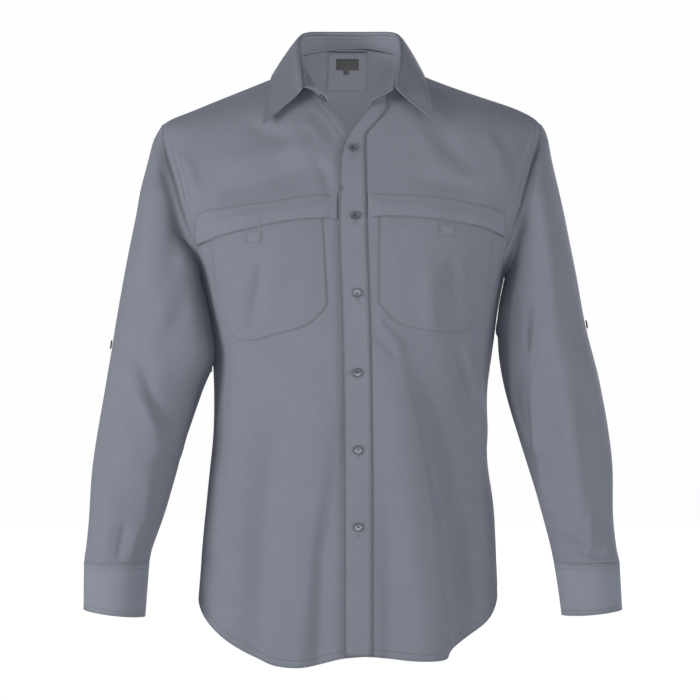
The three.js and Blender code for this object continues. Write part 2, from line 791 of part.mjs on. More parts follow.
function addHookTab(side) {
  const tab = hookTabs[side];
  const level = (height) => (t) => onFront(THREE.MathUtils.lerp(tab.innerX, tab.outerX, t), height);
  const upright = (x) => (t) => onFront(x, THREE.MathUtils.lerp(tab.bottom, tab.top, t));
  const edges = {
    bottom: level(tab.bottom),
    top: level(tab.top),
    left: upright(tab.innerX),
    right: upright(tab.outerX),
  };
  const seat = (angle, height) => frontFace(side, angle, height) + tabSeat;
  const face = (angle, height) => frontFace(side, angle, height) + tabSeat + labelWall;
  addPiece(`hook_tab_${side}`, bodyWall(edges, 2, 2, face, seat), colours.cloth);
}

// Labels lie inside the back, where the front edge of each is given by x across the neck.
function addNeckLabels() {
  for (const [name, label] of Object.entries(neckLabels)) {
    const backAngle = (x, height) => 180 - THREE.MathUtils.radToDeg(
      Math.atan2(x, read(bodySections, 'z', height, 'back') - read(bodySections, 'z', height, 'centre')),
    );
    const place = (x, height) => new THREE.Vector2(backAngle(x, height), height);
    const level = (height) => (t) => place(THREE.MathUtils.lerp(label.from, label.to, t), height);
    const upright = (x) => (t) => place(x, THREE.MathUtils.lerp(label.bottom, label.top, t));
    const edges = {
      bottom: level(label.bottom),
      top: level(label.top),
      left: upright(label.from),
      right: upright(label.to),
    };
    const face = () => -label.seat;
    const back = () => -label.seat - label.wall;
    const colour = name === 'label_patch' ? colours.inside : colours.label;
    addPiece(name, bodyWall(edges, 4, 3, face, back), colour);
  }
}

// Armhole points in order from the armpit up the front, over the shoulder and down the back, at
// the same places as the corners of the panels' edges.
function armholeRing(side) {
  const parts = [
    { edge: armholeEdge(armholeFront), steps: upperRows },
    { edge: armholeEdge(armholeYoke), steps: yokeArmRows },
    { edge: armholeEdge(armholeBack), steps: upperRows },
  ];
  const sign = side === 'left' ? 1 : -1;
  const points = [];
  for (const part of parts) {
    for (let step = 0; step < part.steps; step += 1) {
      const place = part.edge(step / part.steps);
      const point = bodyPoint(place.x * sign, place.y);
      point.x += sign * seamGap * 2.2;
      points.push(point);
    }
  }
  return points;
}

function ringTurns(ring) {
  const lengths = [0];
  for (let place = 1; place <= ring.length; place += 1) {
    lengths.push(lengths[place - 1] + ring[place % ring.length].distanceTo(ring[place - 1]));
  }
  return ring.map((point, place) => (360 * lengths[place]) / lengths[ring.length]);
}

// A point of a tube given by rings: the turn starts at the inner line and goes by the front.
function tubePoint(rings, folds, sign, turn, place) {
  const get = (column) => read(rings, 'ring', place, column);
  const angle = THREE.MathUtils.degToRad(turn);
  const inward = Math.cos(angle);
  const forward = Math.sin(angle);
  const swell = 1 + foldRise(folds, turn, place) / get('depth');
  const halfX = ((get('innerX') - get('outerX')) / 2) * swell;
  const halfZ = ((get('innerZ') - get('outerZ')) / 2) * swell;
  const middleX = (get('innerX') + get('outerX')) / 2;
  const middleZ = (get('innerZ') + get('outerZ')) / 2;
  return new THREE.Vector3(
    sign * (middleX + inward * halfX),
    get('middle') - forward * get('depth') * swell,
    middleZ + inward * halfZ,
  );
}

const sleevePlaces = [1, 2, 3, 4, 5, 6, 7, 8, 9, 9.5, 10, 10.5, 11, 11.5, 12, 12.5, 13, 13.5, 14, 15];

function addSleeve(side) {
  const sign = side === 'left' ? 1 : -1;
  const start = armholeRing(side);
  const turns = ringTurns(start);
  const surface = (turn, place) => tubePoint(sleeveRings[side], sleeveFolds[side], sign, turn, place);
  const outer = [start];
  const inner = [start.map((point, column) => {
    const next = start[(column + 1) % start.length];
    const before = start[(column + start.length - 1) % start.length];
    const down = surface(turns[column], 1).sub(point);
    const around = next.clone().sub(before);
    const normal = around.cross(down).normalize().multiplyScalar(sign);
    return point.clone().addScaledVector(normal, clothWall);
  })];
  for (const place of sleevePlaces) {
    outer.push(turns.map((turn) => surface(turn, place)));
    inner.push(turns.map((turn) => movedOut(surface, turn, place, 1, 0.04, sign * clothWall)));
  }
  addPiece(`sleeve_${side}`, wallGeometry(outer, inner, true), colours.lightCloth);
}

// The cuff is a band whose end laps over its start behind the wrist, closed with a button.
const cuffLap = 20;
const cuffLapRise = cuffWall + 0.6;
const cuffStart = 232;
function cuffSurface(side) {
  const sign = side === 'left' ? 1 : -1;
  return (turn, place) => {
    const point = tubePoint(cuffRings[side], [], sign, turn, place);
    const middle = tubePoint(cuffRings[side], [], sign, turn + 180, place).add(point).multiplyScalar(0.5);
    const ramp = THREE.MathUtils.smoothstep(turn, cuffStart + 290, cuffStart + 352);
    return point.addScaledVector(point.clone().sub(middle).normalize(), ramp * cuffLapRise);
  };
}

function addCuff(side) {
  const sign = side === 'left' ? 1 : -1;
  const surface = cuffSurface(side);
  const columns = 26;
  const rows = 2;
  const outer = [];
  const inner = [];
  for (let row = 0; row <= rows; row += 1) {
    const place = (2 * row) / rows;
    const turns = Array.from({ length: columns + 1 }, (_, step) => cuffStart + (step * (360 + cuffLap)) / columns);
    outer.push(turns.map((turn) => surface(turn, place)));
    inner.push(turns.map((turn) => movedOut(surface, turn, place, 1, 0.04, sign * cuffWall)));
  }
  addPiece(`cuff_${side}`, wallGeometry(outer, inner, false), colours.lightCloth);
}

// The strip that finishes the slit above the cuff, on the back of the sleeve.
function addSleevePlacket(side) {
  const sign = side === 'left' ? 1 : -1;
  const surface = (turn, place) => tubePoint(sleeveRings[side], sleeveFolds[side], sign, turn, place);
  const outer = [];
  const inner = [];
  for (const place of [12.2, 12.6, 13, 13.5, 14, 14.5, 14.9]) {
    const turns = [226, 236, 246, 256];
    const out = -sign * layerGap;
    outer.push(turns.map((turn) => movedOut(surface, turn, place, 1, 0.04, out - sign * trimWall)));
    inner.push(turns.map((turn) => movedOut(surface, turn, place, 1, 0.04, out)));
  }
  addPiece(`sleeve_placket_${side}`, wallGeometry(outer, inner, false), colours.lightCloth);
}

// The stand lies on the ends of the fronts, and on the left over the placket's top too.
function standSeat(angle, height) {
  const placketTop = 50;
  const x = bodyPoint(angle, height).x;
  const overPlacket = angle > 0 && x < placketTop ? placketFace - leftFrontLift : 0;
  const front = angle > 0 && angle < 80 ? leftFrontFace(angle, height) : 0;
  return front + overPlacket + layerGap + 0.5;
}

// Every station of the collar as seam, top of the stand and free edge, from the right end round
// the back to the left end. The stand's ends have no free edge.
function collarLine(side, withEnds) {
  const sign = side === 'left' ? 1 : -1;
  const rows = withEnds ? [...collarStations, ...standEnds[side]] : collarStations;
  return rows.map((row) => {
    const onLeft = side === 'left' && 'leftRollX' in row;
    const rollX = onLeft ? row.leftRollX : row.rollX;
    const roll = new THREE.Vector3(sign * rollX, row.rollY, row.rollZ);
    const seam = bodyAt(row.angle * sign, row.seamZ, standSeat(row.angle * sign, row.seamZ));
    const rise = roll.clone().sub(seam).normalize();
    seam.addScaledVector(rise, seamGap + 0.2);
    const edgeX = onLeft ? row.leftEdgeX : row.edgeX;
    const edge = new THREE.Vector3(sign * edgeX, row.edgeY, onLeft ? row.leftEdgeZ : row.edgeZ);
    return { seam, roll, edge, rise };
  });
}

function wholeCollarLine(withEnds) {
  const right = collarLine('right', withEnds).reverse();
  return [...right, ...collarLine('left', withEnds).slice(1)];
}

// Curves through the stations, so that the collar's columns lie closer than its table rows.
function stationCurves(stations, names) {
  const curves = {};
  for (const name of names) {
    curves[name] = new THREE.CatmullRomCurve3(stations.map((station) => station[name]));
  }
  return curves;
}

function addCollarStand() {
  const curves = stationCurves(wholeCollarLine(true), ['seam', 'roll']);
  const surface = (along, up) => {
    const at = THREE.MathUtils.clamp(along, 0, 1);
    const seam = curves.seam.getPoint(at);
    const roll = curves.roll.getPoint(at);
    return seam.lerp(roll, up);
  };
  const columns = 2 * (wholeCollarLine(true).length - 1);
  const rows = 2;
  const outer = [];
  const inner = [];
  for (let row = 0; row <= rows; row += 1) {
    const outerRow = [];
    const innerRow = [];
    for (let column = 0; column <= columns; column += 1) {
      const along = THREE.MathUtils.clamp(column / columns, 0.001, 0.999);
      outerRow.push(surface(along, row / rows));
      innerRow.push(movedOut(surface, along, row / rows, 0.001, 0.02, collarWall));
    }
    outer.push(outerRow);
    inner.push(innerRow);
  }
  addPiece('collar_stand', wallGeometry(outer, inner, false), colours.cloth);
}

// The fall starts above the stand's top edge, turns over it and hangs to its free edge.
const fallProfile = table('up out toEdge', [
  [0.9, -1.7, 0],
  [4.2, -0.6, 0],
  [4.6, 2.4, 0],
  [2.6, 4.8, 0.06],
  [1.8, 5.2, 0.34],
  [0.9, 3.4, 0.68],
  [0, 0, 1],
]);

function addCollarFall() {
  const stand = stationCurves(wholeCollarLine(true), ['seam', 'roll']);
  const free = stationCurves(wholeCollarLine(false), ['edge']);
  const fallSpans = wholeCollarLine(false).length - 1;
  const endSpans = standEnds.right.length;
  const surface = (along, row) => {
    const at = THREE.MathUtils.clamp(along, 0, 1);
    const onStand = (endSpans + at * fallSpans) / (fallSpans + 2 * endSpans);
    const roll = stand.roll.getPoint(onStand);
    const edge = free.edge.getPoint(at);
    const rise = roll.clone().sub(stand.seam.getPoint(onStand)).normalize();
    const line = stand.roll.getTangent(onStand);
    const out = rise.clone().cross(line).normalize();
    const get = (column) => read(fallRows, 'row', row, column);
    const point = roll.clone().lerp(edge, get('toEdge'));
    return point.addScaledVector(rise, get('up')).addScaledVector(out, get('out'));
  };
  const columns = 2 * fallSpans;
  const outer = [];
  const inner = [];
  for (let row = 0; row < fallProfile.length; row += 1) {
    const outerRow = [];
    const innerRow = [];
    for (let column = 0; column <= columns; column += 1) {
      const along = THREE.MathUtils.clamp(column / columns, 0.001, 0.999);
      outerRow.push(surface(along, row));
      innerRow.push(movedOut(surface, along, row, 0.001, 0.05, -collarWall));
    }
    outer.push(outerRow);
    inner.push(innerRow);
  }
  addPiece('collar_fall', wallGeometry(outer, inner, false), colours.cloth);
}
const fallRows = fallProfile.map((row, place) => ({ ...row, row: place }));

function buttonGeometry() {
  const rim = buttonRadius * 0.82;
  const profile = [
    [0, 0],
    [buttonRadius * 0.9, 0],
    [buttonRadius, buttonThickness * 0.4],
    [rim, buttonThickness],
    [rim * 0.78, buttonThickness - buttonDish],
    [0, buttonThickness - buttonDish],
  ].map(([radius, height]) => new THREE.Vector2(radius, height));
  const geometry = new THREE.LatheGeometry(profile, buttonSides);
  geometry.rotateX(Math.PI / 2);
  return geometry;
}

// Sits a button on the piece that carries it, square to the surface there, at a small gap from
// the highest point under it.
function addButton(name, carrier, face) {
  const reach = 15;
  const ringPlaces = 8;
  const middle = face(0);
  const outward = face(1).sub(middle).normalize();
  const turn = new THREE.Quaternion().setFromUnitVectors(new THREE.Vector3(0, 0, 1), outward);
  const caster = new THREE.Raycaster();
  const mesh = shirt.getObjectByName(carrier);
  let nearest = Infinity;
  for (let place = 0; place <= ringPlaces; place += 1) {
    const radius = place === ringPlaces ? 0 : buttonRadius * 0.9;
    const angle = (2 * Math.PI * place) / ringPlaces;
    const offset = new THREE.Vector3(radius * Math.cos(angle), radius * Math.sin(angle), 0);
    const from = middle.clone().add(offset.applyQuaternion(turn)).addScaledVector(outward, reach);
    caster.set(from, outward.clone().negate());
    const [hit] = caster.intersectObject(mesh);
    nearest = Math.min(nearest, hit ? hit.distance : Infinity);
  }
  const button = addPiece(name, buttonGeometry(), colours.button, 0.35);
  button.quaternion.copy(turn);
  button.position.copy(middle).addScaledVector(outward, reach - nearest + buttonGap);
}

function addButtons() {
  frontButtons.forEach((row, place) => {
    const angle = angleAt(row.x, row.z);
    addButton(`front_button_${place + 1}`, 'placket', (out) => bodyAt(angle, row.z, placketFace + out));
  });
  for (const side of ['right', 'left']) {
    const sign = side === 'left' ? 1 : -1;
    const sleeve = (turn, place) => tubePoint(sleeveRings[side], sleeveFolds[side], sign, turn, place);
    const spot = sleeveButtons[side];
    const onSleeve = (out) => movedOut(sleeve, spot.turn, spot.ring, 1, 0.04, -sign * out);
    addButton(`sleeve_button_${side}`, `sleeve_${side}`, onSleeve);
    const cuff = cuffSurface(side);
    const cuffTurn = cuffStart + 360 + cuffLap / 2 - 2;
    const onCuff = (out) => movedOut(cuff, cuffTurn, 1, 1, 0.04, -sign * out);
    addButton(`cuff_button_${side}`, `cuff_${side}`, onCuff);
  }
  const [before, end] = collarLine('right', true).slice(collarStations.length);
  const middleOf = (station) => station.seam.clone().lerp(station.roll, 0.55);
  const along = middleOf(end).sub(middleOf(before));
  const outward = along.cross(end.rise).normalize();
  outward.multiplyScalar(Math.sign(-outward.y));
  addButton('stand_button', 'collar_stand', (out) => middleOf(end).addScaledVector(outward, out));
}

addFronts();
addBack();
addYoke();
addPlacket();
for (const side of ['right', 'left']) {
  addPocket(side);
  addFlap(side);
  addHookTab(side);
  addSleeve(side);
  addSleevePlacket(side);
  addCuff(side);
}
addNeckLabels();
addCollarStand();
addCollarFall();
addButtons();

export default shirt;
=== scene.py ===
import math
from functools import partial

import bmesh
import bpy
import numpy as np
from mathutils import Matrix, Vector
from mathutils.bvhtree import BVHTree


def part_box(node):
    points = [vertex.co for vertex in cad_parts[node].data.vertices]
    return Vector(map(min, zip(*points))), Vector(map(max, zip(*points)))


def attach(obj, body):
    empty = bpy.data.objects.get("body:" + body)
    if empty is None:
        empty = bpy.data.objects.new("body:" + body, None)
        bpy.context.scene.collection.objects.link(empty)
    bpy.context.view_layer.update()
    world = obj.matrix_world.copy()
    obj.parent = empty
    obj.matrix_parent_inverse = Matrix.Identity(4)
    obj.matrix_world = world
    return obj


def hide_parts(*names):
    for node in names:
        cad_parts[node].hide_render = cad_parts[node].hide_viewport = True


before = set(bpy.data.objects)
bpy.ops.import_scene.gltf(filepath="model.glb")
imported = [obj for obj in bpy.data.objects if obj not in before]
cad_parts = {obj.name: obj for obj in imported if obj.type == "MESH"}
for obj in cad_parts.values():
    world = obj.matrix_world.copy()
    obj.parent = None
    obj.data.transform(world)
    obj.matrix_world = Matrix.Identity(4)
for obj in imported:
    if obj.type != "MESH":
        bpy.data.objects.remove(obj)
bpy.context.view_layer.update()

# A long-sleeved work shirt on no wearer. Metres, but the tables below are in millimetres.
# Right and left are the wearer's: the wearer's right is at low X.
mm = 0.001
scene = bpy.context.scene
scene.view_settings.view_transform = "Standard"


# small helpers
def smooth(low, high, value):
    share = np.clip((value - low) / (high - low), 0, 1)
    return share * share * (3 - 2 * share)


def unit(vectors):
    return vectors / np.maximum(np.linalg.norm(vectors, axis=-1, keepdims=True), 1e-12)


def pointNormals(points, faces):
    across = np.cross(
        points[faces[:, 2]] - points[faces[:, 0]], points[faces[:, 3]] - points[faces[:, 1]]
    )
    total = np.zeros_like(points)
    for corner in range(4):
        np.add.at(total, faces[:, corner], across)
    return unit(total)


def addObject(name, data):
    made = bpy.data.objects.new(name, data)
    scene.collection.objects.link(made)
    return made


def addNode(tree, kind, sockets=None, **settings):
    made = tree.nodes.new("ShaderNode" + kind)
    for key, value in settings.items():
        setattr(made, key, value)
    for key, value in (sockets or {}).items():
        if isinstance(value, bpy.types.NodeSocket):
            tree.links.new(value, made.inputs[key])
        else:
            made.inputs[key].default_value = value
    return made


def maths(tree, how, first, second=0.0, third=0.0):
    made = tree.nodes.new("ShaderNodeMath")
    made.operation = how
    for place, value in enumerate((first, second, third)):
        if isinstance(value, bpy.types.NodeSocket):
            tree.links.new(value, made.inputs[place])
        else:
            made.inputs[place].default_value = value
    return made.outputs[0]


def newGroup(name, takes, gives):
    group = bpy.data.node_groups.new(name, "ShaderNodeTree")
    for label, kind, value in takes:
        socket = group.interface.new_socket(label, in_out="INPUT", socket_type="NodeSocket" + kind)
        if value is not None:
            socket.default_value = value
    for label, kind in gives:
        group.interface.new_socket(label, in_out="OUTPUT", socket_type="NodeSocket" + kind)
    start = group.nodes.new("NodeGroupInput")
    end = group.nodes.new("NodeGroupOutput")
    return group, start.outputs, end.inputs


# camera and light
cameraSetup = {"place": (-0.0013, -3.5, -0.343), "seen": 0.889, "sensor": 36}
eye = bpy.data.cameras.new("camera")
eye.sensor_width = cameraSetup["sensor"]
eye.lens = cameraSetup["sensor"] * -cameraSetup["place"][1] / cameraSetup["seen"]
camera = addObject("camera", eye)
camera.location = cameraSetup["place"]
camera.rotation_euler = (math.pi / 2, 0, 0)
scene.camera = camera

lamps = [  # name, place, aims at, width, watts
    ("keyLight", (-3.2, -2.1, -0.05), (0, 0, -0.40), 1.3, 104),
    ("frontLight", (0.2, -3.9, -0.7), (0, 0, -0.5), 1.8, 66),
    ("fillLight", (3.3, -1.9, -0.4), (0, 0, -0.45), 1.4, 66),
    ("backLight", (0.9, 3.1, 0.7), (0, 0, -0.4), 2.4, 84),
    ("neckLight", (0, -0.06, -0.21), (0, 0.10, 0.0), 0.10, 0.4),  # inside the body, lights the neck
]
for name, place, aim, width, watts in lamps:
    lamp = bpy.data.lights.new(name, "AREA")
    lamp.size = width
    lamp.energy = watts
    holder = addObject(name, lamp)
    holder.location = place
    holder.rotation_euler = (Vector(aim) - Vector(place)).to_track_quat("-Z", "Y").to_euler()

roomSetup = {"colour": (0.93, 0.95, 1.0, 1), "strength": 0.17, "seen": (1, 1, 1, 1)}
world = bpy.data.worlds.new("softRoom")
scene.world = world
world.use_nodes = True
room = world.node_tree
roomLight = room.nodes["Background"]
roomLight.inputs["Color"].default_value = roomSetup["colour"]
roomLight.inputs["Strength"].default_value = roomSetup["strength"]
roomSeen = addNode(room, "Background", {"Color": roomSetup["seen"]})  # what the camera sees beyond the floor
roomRay = addNode(room, "LightPath").outputs["Is Camera Ray"]
roomMix = addNode(room, "MixShader", {0: roomRay, 1: roomLight.outputs[0], 2: roomSeen.outputs[0]})
room.links.new(roomMix.outputs[0], room.nodes["World Output"].inputs["Surface"])
print("camera and light ready")

# weave: threads laid across each other on whichever plane the cloth faces
weaveSetup = {
    "turned": 0.72,  # a face counts as turned sideways or upwards from this share of its normal
    "slubSize": (1500, 90),  # fineness of the thick places, over and along a thread
    "slubDetail": 1.5,
    "slubHeight": 1.5,
    "cloudSize": 26.0,
    "cloudDetail": 3.0,
}
weave, weaveIn, weaveOut = newGroup(
    "weave",
    [("Pitch", "Float", 1.0), ("Slubs", "Float", 0.5), ("Mottle", "Float", 0.5)],
    [("Height", "Float"), ("Shade", "Float")],
)
weaveMaths = partial(maths, weave)
where = addNode(weave, "TexCoord").outputs["Object"]
facing = addNode(weave, "SeparateXYZ", {0: addNode(weave, "NewGeometry").outputs["Normal"]}).outputs
apart = addNode(weave, "SeparateXYZ", {0: where}).outputs
sideways = weaveMaths("GREATER_THAN", weaveMaths("ABSOLUTE", facing[0]), weaveSetup["turned"])
upwards = weaveMaths("GREATER_THAN", weaveMaths("ABSOLUTE", facing[2]), weaveSetup["turned"])
acrossMix = addNode(weave, "Mix", {0: sideways, 2: apart[0], 3: apart[1]}).outputs[0]
alongMix = addNode(weave, "Mix", {0: upwards, 2: apart[2], 3: apart[1]}).outputs[0]
turns = weaveMaths("DIVIDE", 2 * math.pi / mm, weaveIn["Pitch"])
warp = weaveMaths("SINE", weaveMaths("MULTIPLY", acrossMix, turns))
weft = weaveMaths("SINE", weaveMaths("MULTIPLY", alongMix, turns))
threads = weaveMaths("MULTIPLY", warp, weft)
flat = addNode(weave, "CombineXYZ", {0: acrossMix, 1: alongMix}).outputs[0]


def slubNoise(over, along):
    stretched = addNode(weave, "Mapping", {0: flat, "Scale": (over, along, 1)}).outputs[0]
    looks = {"Vector": stretched, "Scale": 1.0, "Detail": weaveSetup["slubDetail"]}
    return addNode(weave, "TexNoise", looks).outputs[0]


fine, long = weaveSetup["slubSize"]
bothSlubs = weaveMaths("ADD", slubNoise(fine, long), slubNoise(long, fine))
slubs = weaveMaths("MULTIPLY", weaveMaths("SUBTRACT", bothSlubs, 1.0), weaveIn["Slubs"])
cloudLooks = {"Vector": where, "Scale": weaveSetup["cloudSize"], "Detail": weaveSetup["cloudDetail"]}
cloudy = addNode(weave, "TexNoise", cloudLooks).outputs[0]
mottle = weaveMaths("MULTIPLY", weaveMaths("SUBTRACT", cloudy, 0.5), weaveIn["Mottle"])
weave.links.new(weaveMaths("MULTIPLY_ADD", slubs, weaveSetup["slubHeight"], threads), weaveOut["Height"])
weave.links.new(weaveMaths("ADD", weaveMaths("ADD", slubs, mottle), 1.0), weaveOut["Shade"])

# seamLines: two rows of stitching beside a sewn edge, with the cloth drawn in between them, painted shade in
# the dents of the rows and painted shade along the border
seamSetup = {
    "row": 1.1,  # half the width of a row's dent in mm, then of its thread, and where both begin to fade
    "core": 0.45,
    "fade": 0.15,
    "stitches": 2.3,  # radians per mm along the edge
    "gap": -0.45,
    "puckerSlant": 0.25,
    "puckerSize": 0.21,
    "dent": -0.5,
    "lift": 0.3,
    # painted shade: how much darker the colour is in the dents of the rows
    "dentShade": -0.16,
    "rim": 2.4,  # painted shade along the border darkens these last millimetres before the edge
}
seamLines, seamIn, seamOut = newGroup(
    "seamLines",
    [
        ("Inset", "Float", 2.0),
        ("Second", "Float", 7.0),
        ("Reach", "Float", 12.0),
        ("Pucker", "Float", 1.0),
        ("EdgeShade", "Float", 0.0),
    ],
    [("Height", "Float"), ("Shade", "Float"), ("Thread", "Float")],
)
seamMaths = partial(maths, seamLines)
edge = addNode(seamLines, "Attribute", attribute_name="edge").outputs["Fac"]
run = addNode(seamLines, "Attribute", attribute_name="run").outputs["Fac"]
edgeMm = seamMaths("DIVIDE", edge, mm)
runMm = seamMaths("DIVIDE", run, mm)


def stitchBand(inset, half):
    gap = seamMaths("ABSOLUTE", seamMaths("SUBTRACT", edgeMm, inset))
    limits = {"Value": gap, 1: seamSetup["fade"], 2: half, 3: 1.0, 4: 0.0}
    ramp = addNode(seamLines, "MapRange", limits)
    ramp.interpolation_type = "SMOOTHSTEP"
    return ramp.outputs[0]


def bothRows(half):
    return seamMaths("MAXIMUM", *(stitchBand(seamIn[label], half) for label in ("Inset", "Second")))


bands = bothRows(seamSetup["row"])
cores = bothRows(seamSetup["core"])
wave = seamMaths("SINE", seamMaths("MULTIPLY", runMm, seamSetup["stitches"]))
thread = seamMaths("MULTIPLY", cores, seamMaths("GREATER_THAN", wave, seamSetup["gap"]))
slanted = seamMaths("MULTIPLY", edgeMm, seamSetup["puckerSlant"])
puckerPlace = addNode(seamLines, "CombineXYZ", {0: runMm, 1: slanted}).outputs[0]
puckerLooks = {"Vector": puckerPlace, "Scale": seamSetup["puckerSize"], "Detail": 1.0}
puckerNoise = addNode(seamLines, "TexNoise", puckerLooks).outputs[0]
reachLimits = {"Value": edgeMm, 1: seamIn["Reach"], 2: 0.0, 3: 0.0, 4: 1.0}
reach = addNode(seamLines, "MapRange", reachLimits).outputs[0]
pucker = seamMaths("MULTIPLY", seamMaths("SUBTRACT", puckerNoise, 0.5), reach)
pucker = seamMaths("MULTIPLY", pucker, seamIn["Pucker"])
drawnIn = seamMaths("ADD", seamMaths("MULTIPLY", bands, seamSetup["dent"]), pucker)
lifted = seamMaths("MULTIPLY", thread, seamSetup["lift"])
seamLines.links.new(seamMaths("ADD", drawnIn, lifted), seamOut["Height"])
# painted shade along the border, its strength given by the material
rimLimits = {"Value": edgeMm, 1: 0.0, 2: seamSetup["rim"], 3: 1.0, 4: 0.0}
paintedEdgeShade = seamMaths("MULTIPLY", addNode(seamLines, "MapRange", rimLimits).outputs[0], seamIn["EdgeShade"])
# painted shade in the dents of both rows
shaded = seamMaths("MULTIPLY_ADD", bands, seamSetup["dentShade"], 1.0)
seamLines.links.new(seamMaths("SUBTRACT", shaded, paintedEdgeShade), seamOut["Shade"])
seamLines.links.new(thread, seamOut["Thread"])

clothLook = {
    "shell": (0.186, 0.200, 0.236),
    "threadShift": 1.18,
    "shader": {
        "Roughness": 0.86, "Sheen Weight": 0.18, "Sheen Roughness": 0.45, "Sheen Tint": (0.75, 0.82, 1.0, 1),
        "Specular IOR Level": 0.25,
    },
    "weave": {"Pitch": 0.9, "Slubs": 0.16, "Mottle": 0.10},
    "puckerReach": 6,  # in mm, beyond the second row
    "fineBump": (0.16, 0.0003),  # strength and distance
    "seamBump": (0.9, 0.0007),
}


def newMaterial(name, looks):
    made = bpy.data.materials.new(name)
    made.use_nodes = True
    shader = made.node_tree.nodes["Principled BSDF"]
    for key, value in looks.items():
        shader.inputs[key].default_value = value
    return made, made.node_tree, shader


# the last argument is the strength of the painted shade along the border
def clothMaterial(name, inset, second, tone=1.0, puckered=1.0, rim=0.0):
    made, tree, shader = newMaterial(name, clothLook["shader"])
    cloth = addNode(tree, "Group", clothLook["weave"], node_tree=weave)
    rows = {
        "Inset": inset, "Second": second, "Reach": second + clothLook["puckerReach"],
        "Pucker": puckered, "EdgeShade": rim,
    }
    seams = addNode(tree, "Group", rows, node_tree=seamLines)
    toneAndShade = maths(tree, "MULTIPLY", cloth.outputs["Shade"], seams.outputs["Shade"])
    paler = maths(tree, "MULTIPLY_ADD", seams.outputs["Thread"], clothLook["threadShift"] - 1, 1.0)
    base = [channel * tone for channel in clothLook["shell"]]
    lit = maths(tree, "MULTIPLY", toneAndShade, paler)
    colour = addNode(tree, "VectorMath", {0: base, "Scale": lit}, operation="SCALE")
    tree.links.new(colour.outputs[0], shader.inputs["Base Color"])
    bump = None
    for key, source in (("fineBump", cloth), ("seamBump", seams)):
        strength, distance = clothLook[key]
        sockets = {"Strength": strength, "Distance": distance, "Height": source.outputs["Height"]}
        if bump:
            sockets["Normal"] = bump.outputs[0]
        bump = addNode(tree, "Bump", sockets)
    tree.links.new(bump.outputs[0], shader.inputs["Normal"])
    return made


plainLook = {"detail": 2.0, "shades": (0.5, 0.75), "uneven": 0.2, "bump": (0.2, 0.0002)}


def plainMaterial(name, colour, roughness, speckle, coat=0.0):
    made, tree, shader = newMaterial(name, {"Coat Weight": coat, "Base Color": (*colour, 1)})
    place = addNode(tree, "TexCoord").outputs["Object"]
    speckles = {"Vector": place, "Scale": speckle, "Detail": plainLook["detail"]}
    noise = addNode(tree, "TexNoise", speckles).outputs[0]
    shift = maths(tree, "MULTIPLY_ADD", noise, *plainLook["shades"])
    colourNode = addNode(tree, "VectorMath", {0: colour, "Scale": shift}, operation="SCALE")
    tree.links.new(colourNode.outputs[0], shader.inputs["Base Color"])
    uneven = plainLook["uneven"]
    rough = maths(tree, "MULTIPLY_ADD", noise, uneven, roughness - uneven / 2)
    tree.links.new(rough, shader.inputs["Roughness"])
    strength, distance = plainLook["bump"]
    bump = addNode(tree, "Bump", {"Strength": strength, "Distance": distance, "Height": noise})
    tree.links.new(bump.outputs[0], shader.inputs["Normal"])
    return made


panelCloth = clothMaterial("panelCloth", 1.6, 1.6)
armholeCloth = clothMaterial("armholeCloth", 1.8, 9.0)
trimCloth = clothMaterial("trimCloth", 1.6, 1.6, 1.04)
pocketCloth = clothMaterial("pocketCloth", 1.4, 1.4, 0.99, 0.8)
# flap and placket: painted shade along their borders
flapCloth = clothMaterial("flapCloth", 1.5, 1.5, 1.03, 3.0, 0.15)
placketCloth = clothMaterial("placketCloth", 2.6, 2.6, 1.02, 2.4, 0.45)
collarCloth = clothMaterial("collarCloth", 5.0, 5.0, 0.93, 0.5)
cuffCloth = clothMaterial("cuffCloth", 2.0, 6.0, 1.15, 0.8)
sleeveCloth = clothMaterial("sleeveCloth", 1.6, 1.6, 1.01)
labelSatin = plainMaterial("labelSatin", (0.018, 0.018, 0.020), 0.55, 900)
buttonShell = plainMaterial("buttonShell", (0.105, 0.115, 0.135), 0.30, 260, 0.35)
threadDark = plainMaterial("threadDark", (0.030, 0.033, 0.042), 0.8, 1500)
threadCloth = plainMaterial("threadCloth", (0.245, 0.262, 0.305), 0.8, 1500)
print("materials ready")


# sheets: the outer face of a solid's wall, made fine, with its distance from the sewn edges.
# These three say which way is outwards from the middle of the body, of a sleeve and of the neck
def bodyOut(p):
    return Vector((p.x, p.y - 0.005, 0.25 * max(0.0, p.z + 0.12)))


def sleeveOut(sign):
    def out(p):
        down = (p.z + 0.08) / -0.54
        rising = 0.3 * (p.z + 0.16) if p.z > -0.16 else 0
        return Vector((p.x - sign * (0.222 + 0.07 * down), p.y + 0.07 * max(0, down), rising))
    return out


def neckOut(p):
    return Vector((p.x, p.y + 0.005, 0))


sheetSetup = {
    "weld": 2e-5,
    "fold": 0.9,  # faces at a steeper angle than this belong to another side of the wall
    "corner": 0.55,  # a border that turns more than this keeps its corner
}


def pointsOf(mesh):
    points = np.zeros(len(mesh.vertices) * 3)
    mesh.vertices.foreach_get("co", points)
    return points.reshape(-1, 3)


